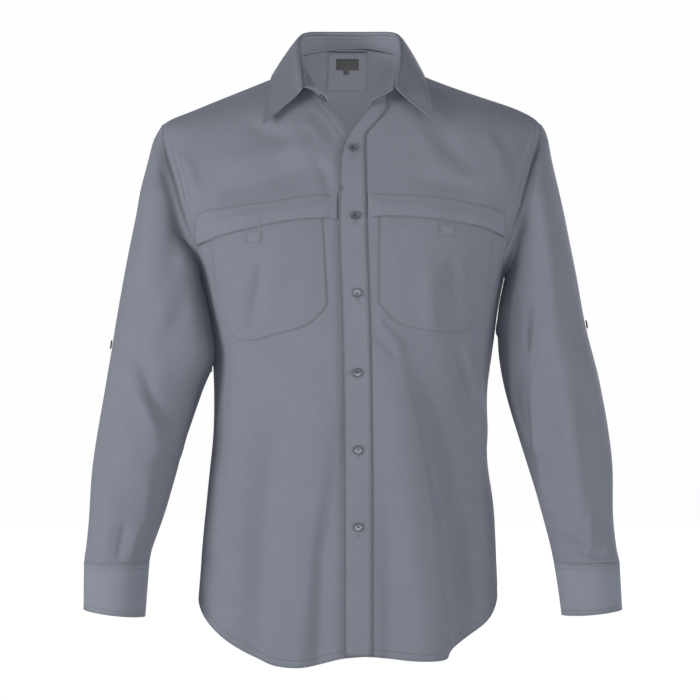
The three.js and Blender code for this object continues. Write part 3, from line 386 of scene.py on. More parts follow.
def outerSheet(node, outward, levels=3):
    form = bmesh.new()
    form.from_mesh(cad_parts[node].data)
    bmesh.ops.remove_doubles(form, verts=form.verts, dist=sheetSetup["weld"])
    form.faces.index_update()
    seen = set()
    best = (-1e9, [])
    for first in form.faces:
        if first.index in seen:
            continue
        seen.add(first.index)
        waiting, members, score = [first], [], 0
        while waiting:
            face = waiting.pop()
            members.append(face)
            score += face.calc_area() * face.normal.dot(outward(face.calc_center_median()))
            for side in face.edges:
                if len(side.link_faces) != 2 or side.calc_face_angle(0) > sheetSetup["fold"]:
                    continue
                for other in side.link_faces:
                    if other.index not in seen:
                        seen.add(other.index)
                        waiting.append(other)
        if score > best[0]:
            best = (score, members)
    kept = set(best[1])
    share = len(kept) / len(form.faces)
    bmesh.ops.delete(form, geom=[f for f in form.faces if f not in kept], context="FACES")
    bmesh.ops.join_triangles(
        form, faces=form.faces[:], cmp_seam=False, cmp_sharp=False, cmp_uvs=False,
        cmp_vcols=False, cmp_materials=False,
        angle_face_threshold=math.pi, angle_shape_threshold=math.pi,
    )
    corners = []
    for vert in form.verts:
        rim = [side.other_vert(vert).co - vert.co for side in vert.link_edges if side.is_boundary]
        corners.append(float(len(rim) == 2 and math.pi - rim[0].angle(rim[1]) > sheetSetup["corner"]))
    mesh = bpy.data.meshes.new(node + "_rough")
    form.to_mesh(mesh)
    form.free()
    mesh.attributes.new("crease_vert", "FLOAT", "POINT").data.foreach_set("value", corners)
    rough = addObject(node + "_rough", mesh)
    finer = rough.modifiers.new("finer", "SUBSURF")
    finer.levels = levels
    finer.boundary_smooth = "PRESERVE_CORNERS"
    done = bpy.data.meshes.new_from_object(rough.evaluated_get(bpy.context.evaluated_depsgraph_get()))
    faces = np.zeros(len(done.loops), int)
    done.loops.foreach_get("vertex_index", faces)
    sheet = {"points": pointsOf(done), "faces": faces.reshape(-1, 4)}
    sheet["normals"] = pointNormals(sheet["points"], sheet["faces"])
    bpy.data.objects.remove(rough)
    bpy.data.meshes.remove(mesh)
    bpy.data.meshes.remove(done)
    print(f"{node}: {share:.2f} of the faces, {len(sheet['faces'])} fine faces")
    return sheet


def borderOf(sheet):
    faces = sheet["faces"]
    sides = np.concatenate([faces[:, [0, 1]], faces[:, [1, 2]], faces[:, [2, 3]], faces[:, [3, 0]]])
    ranked = np.sort(sides, axis=1)
    _, first, count = np.unique(ranked, axis=0, return_index=True, return_counts=True)
    return sides[first[count == 1]]


def edgeDistance(sheet, wanted=None):
    border = borderOf(sheet)
    points = sheet["points"]
    if wanted is not None:
        middle = (points[border[:, 0]] + points[border[:, 1]]) / 2
        border = border[np.array([bool(wanted(p)) for p in middle])]
    if not len(border):
        return np.full(len(points), 1.0), np.zeros(len(points))
    starts, ends = points[border[:, 0]], points[border[:, 1]]
    step = ends - starts
    size = np.maximum((step ** 2).sum(1), 1e-12)
    following = {int(a): place for place, a in enumerate(border[:, 0])}
    length = np.zeros(len(border))
    done = np.zeros(len(border), bool)
    arriving = set(int(b) for b in border[:, 1])
    order = [p for p in range(len(border)) if int(border[p, 0]) not in arriving] + list(range(len(border)))
    for place in order:
        total = 0.0
        while place is not None and not done[place]:
            done[place] = True
            length[place] = total
            total += math.sqrt(size[place])
            place = following.get(int(border[place, 1]))
    nearest = np.full(len(points), 1e9)
    along = np.zeros(len(points))
    for place in range(len(border)):
        rel = points - starts[place]
        t = np.clip((rel @ step[place]) / size[place], 0, 1)
        gap = ((rel - t[:, None] * step[place]) ** 2).sum(1)
        closer = gap < nearest
        nearest[closer] = gap[closer]
        along[closer] = length[place] + t[closer] * math.sqrt(size[place])
    return np.sqrt(nearest), along


creaseSetup = {
    "depth": 1.7,  # all creases rise this much more than their tables say
    "hem": -0.72,  # a crease that ends below this runs on past the hem, by as much as the next value
    "past": 0.3,
    "ends": 0.3,  # share of its length over which a crease rises from nothing, and sinks again
    "turned": (0.30, -0.25),  # between these the creases of a front fade out round the side
    "held": (1.5, 14),  # in mm from a sewn edge, from where creases begin to where they are whole
}


def foldRise(points, folds):
    level = points[:, [0, 2]]
    total = np.zeros(len(points))
    for line, before, after, rise in folds:
        line = np.array(line) * mm
        if line[-1, 1] < creaseSetup["hem"]:
            line = np.vstack([line, line[-1] + unit(line[-1] - line[-2]) * creaseSetup["past"]])
        steps = line[1:] - line[:-1]
        lengths = np.linalg.norm(steps, axis=1)
        starts = np.concatenate([[0], np.cumsum(lengths)])
        nearest = np.full(len(points), 1e9)
        side = np.zeros(len(points))
        along = np.zeros(len(points))
        for place, step in enumerate(steps):
            rel = level - line[place]
            t = np.clip((rel @ step) / lengths[place] ** 2, 0, 1)
            off = rel - t[:, None] * step
            gap = np.hypot(off[:, 0], off[:, 1])
            closer = gap < nearest
            nearest[closer] = gap[closer]
            side[closer] = (step[0] * rel[:, 1] - step[1] * rel[:, 0])[closer]
            along[closer] = (starts[place] + t * lengths[place])[closer]
        share = along / starts[-1]
        width = np.where(side > 0, after, before) * mm
        ends = smooth(0, creaseSetup["ends"], share) * smooth(1, 1 - creaseSetup["ends"], share)
        total += rise * mm * np.exp(-((nearest / width) ** 2)) * ends
    return total


def slack(points, size):  # the slow waves of cloth that hangs free
    x, y, z = points.T / mm
    first = np.sin(x / 31 + z / 57 + 1.3 * np.sin(z / 83)) * np.sin(z / 44 - y / 38 + 0.7)
    second = np.sin(x / 17 - z / 29 + 2.1 * np.sin(x / 61)) * np.sin(y / 23 + z / 35)
    return size * mm * (first + 0.45 * second)


def creased(sheet, tables, free=None, slackness=0.5):
    points, normals = sheet["points"], sheet["normals"]
    total = slack(points, slackness)
    for facing, folds in tables:
        weight = smooth(*creaseSetup["turned"], normals[:, 1] * facing)
        total += weight * creaseSetup["depth"] * foldRise(points, folds)
    held, _ = edgeDistance(sheet, (lambda p: not free(p)) if free else None)
    total *= smooth(creaseSetup["held"][0] * mm, creaseSetup["held"][1] * mm, held)
    sheet["points"] = points + normals * total[:, None]
    sheet["normals"] = pointNormals(sheet["points"], sheet["faces"])
    return sheet


def treeOf(sheet):
    return BVHTree.FromPolygons([tuple(p) for p in sheet["points"]], [tuple(f) for f in sheet["faces"]])


def laidOn(sheet, tree, rise):
    points = sheet["points"]
    moved = points.copy()
    for place, p in enumerate(points):
        spot, normal, _, _ = tree.find_nearest(Vector(p))
        if normal.dot(Vector(sheet["normals"][place])) < 0:
            normal = -normal
        moved[place] = np.array(spot + normal * float(rise[place]))
    sheet["points"] = moved
    sheet["normals"] = pointNormals(moved, sheet["faces"])
    return sheet


rootPieces = []
sharpAngle = {"cloth": 50, "button": 38}


def makePiece(node, sheet, wall, material, kind="cloth", sewn=None):
    name = f"{node}_{kind}"
    near, along = edgeDistance(sheet, sewn)
    mesh = bpy.data.meshes.new(name)
    mesh.from_pydata(sheet["points"].tolist(), [], sheet["faces"].tolist())
    mesh.attributes.new("edge", "FLOAT", "POINT").data.foreach_set("value", near.astype(np.float32))
    mesh.attributes.new("run", "FLOAT", "POINT").data.foreach_set("value", along.astype(np.float32))
    mesh.update()
    rough = addObject(name + "_sheet", mesh)
    thick = rough.modifiers.new("wall", "SOLIDIFY")
    thick.thickness = wall * mm
    thick.offset = -1
    thick.use_even_offset = False
    final = bpy.data.meshes.new_from_object(rough.evaluated_get(bpy.context.evaluated_depsgraph_get()))
    bpy.data.objects.remove(rough)
    bpy.data.meshes.remove(mesh)
    final.name = name
    final.shade_smooth()
    final.set_sharp_from_angle(angle=math.radians(sharpAngle["cloth"]))
    piece = addObject(name, final)
    final.materials.clear()
    final.materials.append(material)
    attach(piece, "root")
    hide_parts(node)
    rootPieces.append(piece)


# creases: points down each one, its width on either side, and how far it rises, all in mm
bodyFolds = [
    ([(-191, -159), (-136, -138), (-75, -123), (-16, -112)], 22, 12, -3.2),  # hollow across the right chest
    ([(-179, -120), (-124, -108), (-63, -93), (-18, -86)], 16, 16, 2.4),
    ([(-66, -50), (-44, -72), (-24, -98)], 8, 10, 1.3),  # beside the open neck
    ([(-47, -98), (-31, -130), (-23, -165)], 8, 8, -1.8),
    ([(-107, -221), (-115, -270), (-124, -331)], 9, 6, -2.6),  # on the right pocket
    ([(-92, -221), (-97, -270), (-109, -337)], 8, 12, 1.6),
    ([(-67, -337), (-97, -441), (-110, -539), (-119, -723)], 26, 16, -4.6),  # down the right belly
    ([(-136, -343), (-146, -441), (-146, -551), (-138, -698)], 16, 20, 2.6),
    ([(-10, -337), (-31, -453), (-51, -588), (-67, -747)], 22, 15, 3.8),
    ([(-21, -490), (-36, -600), (-40, -747)], 8, 9, -2.2),
    ([(-167, -282), (-158, -355), (-162, -453), (-170, -551)], 10, 10, -2.2),
    ([(31, -282), (55, -338), (76, -430), (99, -563), (112, -747)], 36, 10, 6.5),  # large fold, left belly
    ([(70, -345), (97, -441), (121, -563), (134, -723)], 12, 26, -5.5),
    ([(33, -429), (45, -551), (50, -747)], 12, 12, -2.2),
    ([(122, -319), (138, -385), (158, -448)], 8, 10, -3.6),
    ([(137, -319), (154, -394), (169, -478)], 9, 9, 3.2),
    ([(146, -527), (155, -612), (158, -698)], 10, 10, 2.4),
    ([(124, -221), (121, -270), (129, -328)], 8, 10, -3.2),  # on the left pocket
    ([(99, -227), (95, -282), (104, -337)], 12, 10, 2.2),
    ([(153, -208), (148, -251), (155, -306)], 6, 7, -1.8),
    ([(27, -301), (45, -323), (65, -344)], 4, 5, 1.6),
    ([(24, -319), (42, -336), (58, -355)], 4, 5, -1.6),
    ([(104, -69), (124, -93), (160, -130)], 12, 14, -1.5),  # below the left collar point
    ([(80, -59), (94, -88), (116, -125)], 12, 12, 1.1),
    ([(158, -59), (182, -93), (197, -145)], 10, 10, 1.2),  # by the left armhole
    ([(176, -64), (197, -98), (207, -150)], 8, 8, -1.0),
    ([(60, -129), (109, -135), (170, -145)], 14, 10, -1.8),
    ([(-136, -52), (-109, -71), (-63, -86)], 12, 12, -1.8),
    ([(-219, -86), (-202, -116), (-185, -159)], 9, 8, 2.2),
    ([(-179, -576), (-170, -637), (-158, -698)], 9, 9, -2.2),
]
backFolds = [
    ([(-28, -104), (-40, -300), (-62, -760)], 12, 16, -3.6),
    ([(26, -104), (44, -280), (70, -760)], 15, 12, -3.2),
    ([(-6, -240), (4, -460), (-8, -760)], 20, 14, 3.4),
    ([(-95, -180), (-120, -420), (-128, -760)], 16, 20, 3.2),
    ([(98, -160), (112, -360), (140, -620), (138, -760)], 18, 14, 3.6),
    ([(-150, -210), (-140, -330), (-150, -480)], 9, 11, -2.6),
    ([(152, -230), (146, -350), (160, -520)], 10, 9, -2.8),
    ([(-60, -380), (-96, -560), (-100, -760)], 12, 14, -2.8),
    ([(64, -420), (90, -600), (96, -760)], 12, 10, -2.4),
    ([(-170, -130), (-120, -160), (-60, -172)], 12, 16, -2.2),
    ([(176, -138), (124, -170), (52, -180)], 14, 12, -2.4),
    ([(-120, -20), (-160, -50), (-205, -78)], 9, 9, 1.8),
    ([(118, -16), (166, -48), (208, -80)], 9, 9, 1.8),
]
rightSleeveFolds = [
    ([(-237, -95), (-217, -157), (-210, -219)], 10, 9, -2.8),
    ([(-249, -113), (-237, -194), (-249, -281)], 18, 16, 2.0),
    ([(-192, -194), (-217, -262), (-249, -321)], 12, 14, 1.3),
    ([(-198, -262), (-222, -318), (-250, -356)], 10, 12, -1.4),
    ([(-269, -337), (-247, -399), (-222, -445), (-207, -465)], 8, 11, -3.4),
    ([(-279, -343), (-259, -405), (-233, -460)], 11, 8, 2.6),
    ([(-252, -466), (-232, -471), (-207, -466)], 7, 8, 1.2),  # elbow
    ([(-254, -480), (-232, -485), (-207, -480)], 7, 7, -1.2),
    ([(-289, -380), (-297, -455), (-302, -529)], 9, 12, -2.2),
    ([(-249, -492), (-254, -554), (-262, -606)], 7, 8, 2.0),
    ([(-297, -554), (-302, -585), (-307, -611)], 5, 6, 1.6),
    ([(-277, -548), (-284, -585), (-287, -611)], 4, 5, -1.8),
    ([(-262, -554), (-269, -585), (-272, -611)], 4, 5, 1.6),
    ([(-264, -132), (-272, -206), (-278, -306)], 10, 8, -1.8),
]
leftSleeveFolds = [
    ([(230, -95), (212, -157), (205, -219)], 9, 10, -2.6),
    ([(244, -120), (241, -206), (249, -306)], 14, 14, 2.0),
    # long fold down the inside
    ([(247, -250), (238, -330), (231, -400), (231, -440), (239, -497), (248, -560)], 9, 18, 3.6),
    ([(236, -262), (226, -335), (213, -400), (218, -440), (226, -497), (236, -550)], 10, 7, -5.0),
    ([(288, -320), (303, -420), (308, -520)], 24, 9, 2.0),
    ([(284, -355), (297, -442), (302, -529)], 9, 8, -2.0),
    ([(269, -380), (277, -467), (284, -554)], 12, 9, 1.8),
    ([(210, -450), (235, -467), (267, -470)], 8, 9, 1.5),  # elbow
    ([(212, -466), (237, -486), (267, -491)], 8, 8, -1.6),
    ([(256, -566), (284, -588), (320, -607)], 6, 6, -2.4),  # pleats at the cuff
    ([(256, -560), (284, -573), (321, -586)], 6, 7, 1.3),
    ([(264, -592), (289, -603), (314, -610)], 5, 6, 0.9),
    ([(249, -529), (259, -573), (267, -606)], 5, 5, 2.0),
    ([(306, -529), (311, -566), (309, -604)], 5, 5, -1.8),
    ([(297, -535), (294, -579), (289, -606)], 4, 5, 1.6),
]
sleeveBackFolds = [  # for the right sleeve; the left one has them mirrored and moved a little
    ([(-236, -130), (-252, -220), (-262, -330)], 12, 14, -3.0),
    ([(-215, -190), (-226, -280), (-240, -350)], 10, 12, 2.6),
    ([(-205, -330), (-240, -372), (-290, -392)], 8, 9, -3.4),
    ([(-204, -346), (-240, -390), (-294, -412)], 8, 7, 2.8),
    ([(-212, -400), (-250, -430), (-300, -442)], 9, 8, -2.4),
    ([(-262, -450), (-276, -530), (-280, -600)], 8, 10, 2.4),
    ([(-296, -430), (-304, -520), (-306, -606)], 7, 8, -2.2),
    ([(-244, -520), (-262, -570), (-266, -610)], 4, 5, 1.8),
    ([(-286, -560), (-292, -586), (-294, -612)], 4, 5, -2.0),
]


def mirroredFolds(folds, shift):
    made = []
    for line, before, after, rise in folds:
        made.append(([(-x - shift, z + 2 * shift) for x, z in line], after, before, rise))
    return made


shoulderPoint = {"x": 236, "y": -4, "z": -68, "reach": (34, 60, 24), "out": 5.5, "up": 4.0}
backHem = {"side": (0.10, 0.14), "low": (-0.60, -0.68), "up": 14}


def squaredShoulders(sheet):
    points = sheet["points"]
    setup = shoulderPoint
    for sign in (-1, 1):
        centre = np.array([sign * setup["x"], setup["y"], setup["z"]]) * mm
        away = ((points - centre) / (np.array(setup["reach"]) * mm)) ** 2
        points += np.exp(-away.sum(1))[:, None] * np.array([sign * setup["out"], 0, setup["up"]]) * mm


def raisedHem(sheet):  # the back's hem stays behind the front's where the left front curves up
    points = sheet["points"]
    share = smooth(*backHem["side"], points[:, 0]) * smooth(*backHem["low"], points[:, 2])
    points[:, 2] += share * backHem["up"] * mm


# panels of the body; creases run out over the hem and the front edge, which are free, not sewn
panelSetup = {"wall": 0.8}
panels = {"front_right": armholeCloth, "front_left": armholeCloth, "back": armholeCloth, "yoke": panelCloth}
freeEdges = {"hem": -0.60, "side": 0.045, "front": -0.03}
bodyTables = [(1, bodyFolds), (-1, backFolds)]


def isFree(p):
    return p[2] < freeEdges["hem"] or (abs(p[0]) < freeEdges["side"] and p[1] < freeEdges["front"])


bases = {}
for node, material in panels.items():
    sheet = outerSheet(node, bodyOut)
    squaredShoulders(sheet)
    if node == "back":
        raisedHem(sheet)
    bases[node] = creased(sheet, bodyTables, isFree if node != "yoke" else None)
    makePiece(node, sheet, panelSetup["wall"], material)
print("body panels ready")

sleeveSetup = {
    "wall": 0.8,
    "levels": 2,
    "slack": 0.6,
    "seamShare": 0.75,  # how far the sleeve head is drawn to the armhole edge, as a share of the gap
    "seamReach": 0.02,  # how far from its edge that goes
    "middle": -0.3,  # above this an edge of a sleeve meets the body, below it the cuff
    "cuffTop": -0.609,
    # inwards, forwards, from, to
    "lean": {"right": (13, -7, -0.185, -0.400), "left": (4, -3, -0.235, -0.350)},
    "leanFade": 0.06,
    "pinch": {"right": 0, "left": 16},  # how far the inner front of the sleeve sinks back
    "pinchMiddle": (0.62, 0.36),  # how far a face points inwards where it sinks most, and the spread
    "pinchFront": (0.1, -0.2),
    "pinchTop": (-0.22, -0.32),
    "pinchEnd": (-0.56, -0.46),
    "clear": 1.4,  # in mm, how far a sleeve stays from the body between these heights
    "clearFrom": -0.45,
    "clearTo": -0.245,
    "clearReach": 0.025,
    "clearSearch": 0.03,
}
for side, sign in (("right", -1), ("left", 1)):
    bases["cuff_" + side] = outerSheet("cuff_" + side, sleeveOut(sign))
cuffEdges = np.concatenate([bases["cuff_" + side]["points"] for side in ("right", "left")])
cuffEdges = cuffEdges[cuffEdges[:, 2] > sleeveSetup["cuffTop"]]
bodyEdges = np.concatenate([bases[node]["points"][np.unique(borderOf(bases[node]))] for node in panels])
bodyTrees = [treeOf(bases[node]) for node in panels]


def drawnToArmhole(sheet):
    points = sheet["points"]
    head = np.unique(borderOf(sheet))
    shift = np.zeros((len(head), 3))
    for place, vert in enumerate(head):
        gaps = (bodyEdges if points[vert, 2] > sleeveSetup["middle"] else cuffEdges) - points[vert]
        nearest = np.argmin((gaps ** 2).sum(1))
        shift[place] = gaps[nearest] * sleeveSetup["seamShare"]
    for place, p in enumerate(points):
        gaps = ((points[head] - p) ** 2).sum(1)
        nearest = np.argmin(gaps)
        distance = math.sqrt(gaps[nearest])
        if distance < sleeveSetup["seamReach"]:
            share = 1 - float(smooth(0, sleeveSetup["seamReach"], distance))
            sheet["moved"][place] += shift[nearest] * share


def leaned(sheet, side, sign):
    inwards, forwards, first, last = sleeveSetup["lean"][side]
    fade = sleeveSetup["leanFade"]
    points, normals = sheet["points"], sheet["normals"]
    weight = np.clip(-sign * normals[:, 0] * 0.8 - normals[:, 1] * 0.6, 0, 1) ** 2  # the inner front
    weight *= smooth(first, first - fade, points[:, 2]) * smooth(last, last + fade, points[:, 2])
    sheet["moved"] += weight[:, None] * np.array([-sign * inwards, forwards, 0]) * mm


def pinched(sheet, side, sign):
    middle, spread = sleeveSetup["pinchMiddle"]
    points, normals = sheet["points"], sheet["normals"]
    weight = np.exp(-(((-sign * normals[:, 0] - middle) / spread) ** 2))
    weight *= smooth(*sleeveSetup["pinchFront"], normals[:, 1])
    weight *= smooth(*sleeveSetup["pinchTop"], points[:, 2]) * smooth(*sleeveSetup["pinchEnd"], points[:, 2])
    sheet["moved"][:, 1] += weight * sleeveSetup["pinch"][side] * mm


def clearOfBody(sheet):
    clear = sleeveSetup["clear"] * mm
    for place, p in enumerate(sheet["points"]):
        if p[2] < sleeveSetup["clearFrom"] or p[2] > sleeveSetup["clearTo"]:
            continue
        for tree in bodyTrees:
            spot, normal, _, distance = tree.find_nearest(Vector(p), sleeveSetup["clearSearch"])
            if spot is None:
                continue
            outside = (Vector(p) - spot).dot(normal)
            if outside < clear and distance < sleeveSetup["clearReach"]:
                sheet["points"][place] = p = np.array(spot + normal * clear)


for side, sign, folds, hidden in (
    ("right", -1, rightSleeveFolds, sleeveBackFolds),
    ("left", 1, leftSleeveFolds, mirroredFolds(sleeveBackFolds, -3)),
):
    sheet = outerSheet("sleeve_" + side, sleeveOut(sign), sleeveSetup["levels"])
    sheet["moved"] = np.zeros_like(sheet["points"])
    squaredShoulders(sheet)
    drawnToArmhole(sheet)
    leaned(sheet, side, sign)
    pinched(sheet, side, sign)
    sheet["points"] = sheet["points"] + sheet["moved"]
    sheet["normals"] = pointNormals(sheet["points"], sheet["faces"])
    sheet = creased(sheet, [(1, folds), (-1, hidden)], None, sleeveSetup["slack"])
    clearOfBody(sheet)
    bases["sleeve_" + side] = sheet
    makePiece("sleeve_" + side, sheet, sleeveSetup["wall"], sleeveCloth)
print("sleeves ready")

# what lies on the fronts is laid on the creased cloth below it
pocketSetup = {"wall": 0.7, "gap": 0.3, "puff": 1.1, "puffReach": 0.02}
flapSetup = {
    "wall": 0.7,
    "top": 0.35,  # how far it stands off the cloth above the seam, and at its lower edge
    "bottom": 2.4,
    "seam": -0.1775,
    "rising": (0.002, 0.02),
    "sewnBeyond": 0.026,
}
tabSetup = {"wall": 0.6, "rise": 2.9}
placketSetup = {"wall": 0.9, "rise": 1.5}


def isSewn(p):  # a flap's edges are, apart from its end beside the placket
    return abs(p[0]) > flapSetup["sewnBeyond"]


def strapOn(node, outward, carrier, rise):
    sheet = outerSheet(node, outward)
    return laidOn(sheet, carrier, np.full(len(sheet["points"]), rise * mm))


for side in ("right", "left"):
    front = treeOf(bases["front_" + side])
    sheet = outerSheet("pocket_" + side, bodyOut)
    near, _ = edgeDistance(sheet)
    puff = pocketSetup["puff"] * smooth(0, pocketSetup["puffReach"], near)
    rise = (pocketSetup["wall"] + pocketSetup["gap"] + puff) * mm
    pocket = laidOn(sheet, front, rise)
    makePiece("pocket_" + side, pocket, pocketSetup["wall"], pocketCloth)

    sheet = outerSheet("flap_" + side, bodyOut)
    top = edgeDistance(sheet, lambda p: p[2] > flapSetup["seam"])[0]
    falling = (flapSetup["bottom"] - flapSetup["top"]) * smooth(*flapSetup["rising"], top)
    rise = (flapSetup["wall"] + flapSetup["top"] + falling) * mm
    flap = laidOn(sheet, front, rise)
    bases["flap_" + side] = flap
    makePiece("flap_" + side, flap, flapSetup["wall"], flapCloth, sewn=isSewn)

    tab = strapOn("hook_tab_" + side, bodyOut, front, tabSetup["rise"])
    makePiece("hook_tab_" + side, tab, tabSetup["wall"], trimCloth)
bases["placket"] = strapOn("placket", bodyOut, treeOf(bases["front_left"]), placketSetup["rise"])
makePiece("placket", bases["placket"], placketSetup["wall"], placketCloth)
print("pockets, flaps and placket ready")


def turnsOf(sides):
    return [2 * math.pi * s / sides for s in range(sides)]


def closedTube(form, rings):
    sides = len(rings[0])
    for one, two in zip(rings, rings[1:]):
        for s in range(sides):
            form.faces.new((one[s], one[(s + 1) % sides], two[(s + 1) % sides], two[s]))
    form.faces.new(rings[0])
    form.faces.new(reversed(rings[-1]))


def finishedMesh(form, name):
    bmesh.ops.recalc_face_normals(form, faces=form.faces)
    mesh = bpy.data.meshes.new(name)
    form.to_mesh(mesh)
    form.free()
    mesh.shade_smooth()
    return mesh


# rows of single stitches, each a small bead lying on the cloth below
stitchSetup = {
    "pitch": 3.0, "length": 2.2, "width": 0.9, "rise": 0.34, "sides": 6,
    "shape": ((-0.5, 0.35), (-0.25, 0.9), (0.25, 0.9), (0.5, 0.35)),  # along a bead, share of its width
}
flapRows = (4.8, 11.5)  # below the flap's upper edge
flapTops = {
    "right": [(-22, -152), (-52, -153), (-88, -159), (-122, -162), (-150, -166), (-176, -170)],
    "left": [(26, -152.5), (60, -152.5), (98, -154), (130, -158), (158, -164), (178, -168)],
}
squares = {"right": (-128, -111, -170, -190), "left": (110, 128, -166, -183)}
armholes = {
    "right": [(-227, -80), (-220, -106), (-212, -135), (-206, -160)],
    "left": [(222, -72), (210, -105), (199, -140), (191, -175)],
}
armholeRow = (8, -2)  # second row by the armhole, inwards and up from the first
placketBars = [[(4, -92), (17, -93)], [(-10, -700), (22, -700)]]
buttonholes = [(2.4, -94.7), (4.9, -178.9), (7.3, -273.3), (7.3, -370), (8.5, -465.3), (8.5, -559.5)]
holeSize = (1.2, 4, -12)  # half the width, up from the middle, down from it

stitchRows = []
for side in ("right", "left"):
    for below in flapRows:
        stitchRows.append(("flap_" + side, [(x, z - below) for x, z in flapTops[side]]))
    x0, x1, z0, z1 = squares[side]
    stitchRows.append(("flap_" + side, [(x0, z0), (x1, z0), (x1, z1), (x0, z1), (x0, z0), (x1, z1)]))
for side, sign in (("right", -1), ("left", 1)):
    inwards, up = armholeRow
    stitchRows.append(("front_" + side, armholes[side]))
    stitchRows.append(("front_" + side, [(x - sign * inwards, z + up) for x, z in armholes[side]]))
for bar in placketBars:
    stitchRows.append(("placket", bar))
for x, z in buttonholes:
    half, up, down = holeSize
    hole = [(x - half, z + up), (x - half, z + down), (x + half, z + down), (x + half, z + up)]
    stitchRows.append(("placket", hole))


def bead(form, hit, normal, run):
    if normal.y > 0:
        normal = -normal
    along = (run - normal * run.dot(normal)).normalized()
    over = normal.cross(along)
    rings = []
    for step, size in stitchSetup["shape"]:
        lift = normal * (stitchSetup["rise"] * size * mm)
        centre = hit + along * (step * stitchSetup["length"] * mm) + lift
        half = size * stitchSetup["width"] / 2 * mm
        rings.append([
            form.verts.new(centre + (over * math.cos(a) + normal * math.sin(a)) * half)
            for a in turnsOf(stitchSetup["sides"])
        ])
    closedTube(form, rings)


def stitching(name, rows):
    form = bmesh.new()
    trees = {}
    for carrier, line in rows:
        tree = trees.setdefault(carrier, treeOf(bases[carrier]))
        line = [Vector((x, 0, z)) * mm for x, z in line]
        for start, end in zip(line, line[1:]):
            count = max(1, round((end - start).length / (stitchSetup["pitch"] * mm)))
            for place in range(count):
                here = start.lerp(end, (place + 0.5) / count)
                hit, normal, _, _ = tree.ray_cast(Vector((here.x, -0.5, here.z)), Vector((0, 1, 0)))
                if hit is not None:
                    bead(form, hit, normal, (end - start).normalized())
    mesh = finishedMesh(form, name)
    mesh.materials.append(threadCloth)
    piece = addObject(name, mesh)
    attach(piece, "root")


stitching("front_stitching", stitchRows)
print("stitching ready")

# collar, cuffs, sleeve plackets and labels keep the form of their solids
collarSetup = {"wall": 2.0}
cuffSetup = {"wall": 2.0}
sleevePlacketSetup = {"wall": 0.8, "rise": 1.3}
labelSetup = {"patch": 0.6, "label": 0.5}
for node in ("collar_stand", "collar_fall"):
    makePiece(node, outerSheet(node, neckOut), collarSetup["wall"], collarCloth)
for side, sign in (("right", -1), ("left", 1)):
    makePiece("cuff_" + side, bases["cuff_" + side], cuffSetup["wall"], cuffCloth)
    node = "sleeve_placket_" + side
    strip = strapOn(node, sleeveOut(sign), treeOf(bases["sleeve_" + side]), sleevePlacketSetup["rise"])
    makePiece(node, strip, sleevePlacketSetup["wall"], trimCloth)


def inward(p):
    return Vector((0, -1, 0))


makePiece("label_patch", outerSheet("label_patch", inward), labelSetup["patch"], trimCloth)
for node in ("neck_label", "size_tab"):
    makePiece(node, outerSheet(node, inward), labelSetup["label"], labelSatin, "satin")
print("collar, cuffs and labels ready")

# buttons: a rimmed disc with a dished middle, four holes and crossed thread
buttonSetup = {
    "thick": 2.2, "sides": 32, "turn": 0.35,
    "seat": 0.2,  # how far a front button stands off the placket
    "search": 6,  # how far above its place the placket is looked for
    "profile": (  # radius and height, from the middle's edge over the rim to the underside's middle
        (4.1, 1.25), (4.35, 1.75), (4.75, 2.15), (5.15, 2.2), (5.45, 1.95),
        (5.6, 1.4), (5.5, 0.8), (5.1, 0.3), (4.3, 0.05), (2.2, 0.0),
    ),
    "hole": 0.72, "holeOut": 1.35, "holeSides": 10, "holeHeights": (1.05, 0.25),
    "threadWidth": 0.42, "threadHeight": 0.28, "threadBase": 0.9, "threadRise": (0.62, 0.2),
    "threadSteps": 8, "threadSides": 8,
}


def circle(form, centre, radius, height, sides):
    made = []
    for a in turnsOf(sides):
        x, y = centre[0] + radius * math.cos(a), centre[1] + radius * math.sin(a)
        made.append(form.verts.new((x * mm, y * mm, height * mm)))
    return made


def buttonMesh(name):
    form = bmesh.new()
    setup = buttonSetup
    sides, few = setup["sides"], setup["holeSides"]
    rings = [circle(form, (0, 0), radius, height, sides) for radius, height in setup["profile"]]
    for upper, lower in zip(rings, rings[1:]):
        for s in range(sides):
            form.faces.new((upper[s], lower[s], lower[(s + 1) % sides], upper[(s + 1) % sides]))
    form.faces.new(reversed(rings[-1]))
    loops = [rings[0]]
    for quarter in range(4):
        angle = math.pi / 4 + quarter * math.pi / 2 + setup["turn"]
        centre = (setup["holeOut"] * math.cos(angle), setup["holeOut"] * math.sin(angle))
        top, bottom = (circle(form, centre, setup["hole"], height, few) for height in setup["holeHeights"])
        for s in range(few):
            form.faces.new((top[(s + 1) % few], bottom[(s + 1) % few], bottom[s], top[s]))
        form.faces.new(bottom)
        loops.append(top)
    edges = []
    for loop in loops:
        for s, vert in enumerate(loop):
            other = loop[(s + 1) % len(loop)]
            edges.append(form.edges.get((vert, other)) or form.edges.new((vert, other)))
    bmesh.ops.triangle_fill(form, edges=edges, use_beauty=True, normal=(0, 0, 1))
    mesh = finishedMesh(form, name)
    mesh.set_sharp_from_angle(angle=math.radians(sharpAngle["button"]))
    return mesh


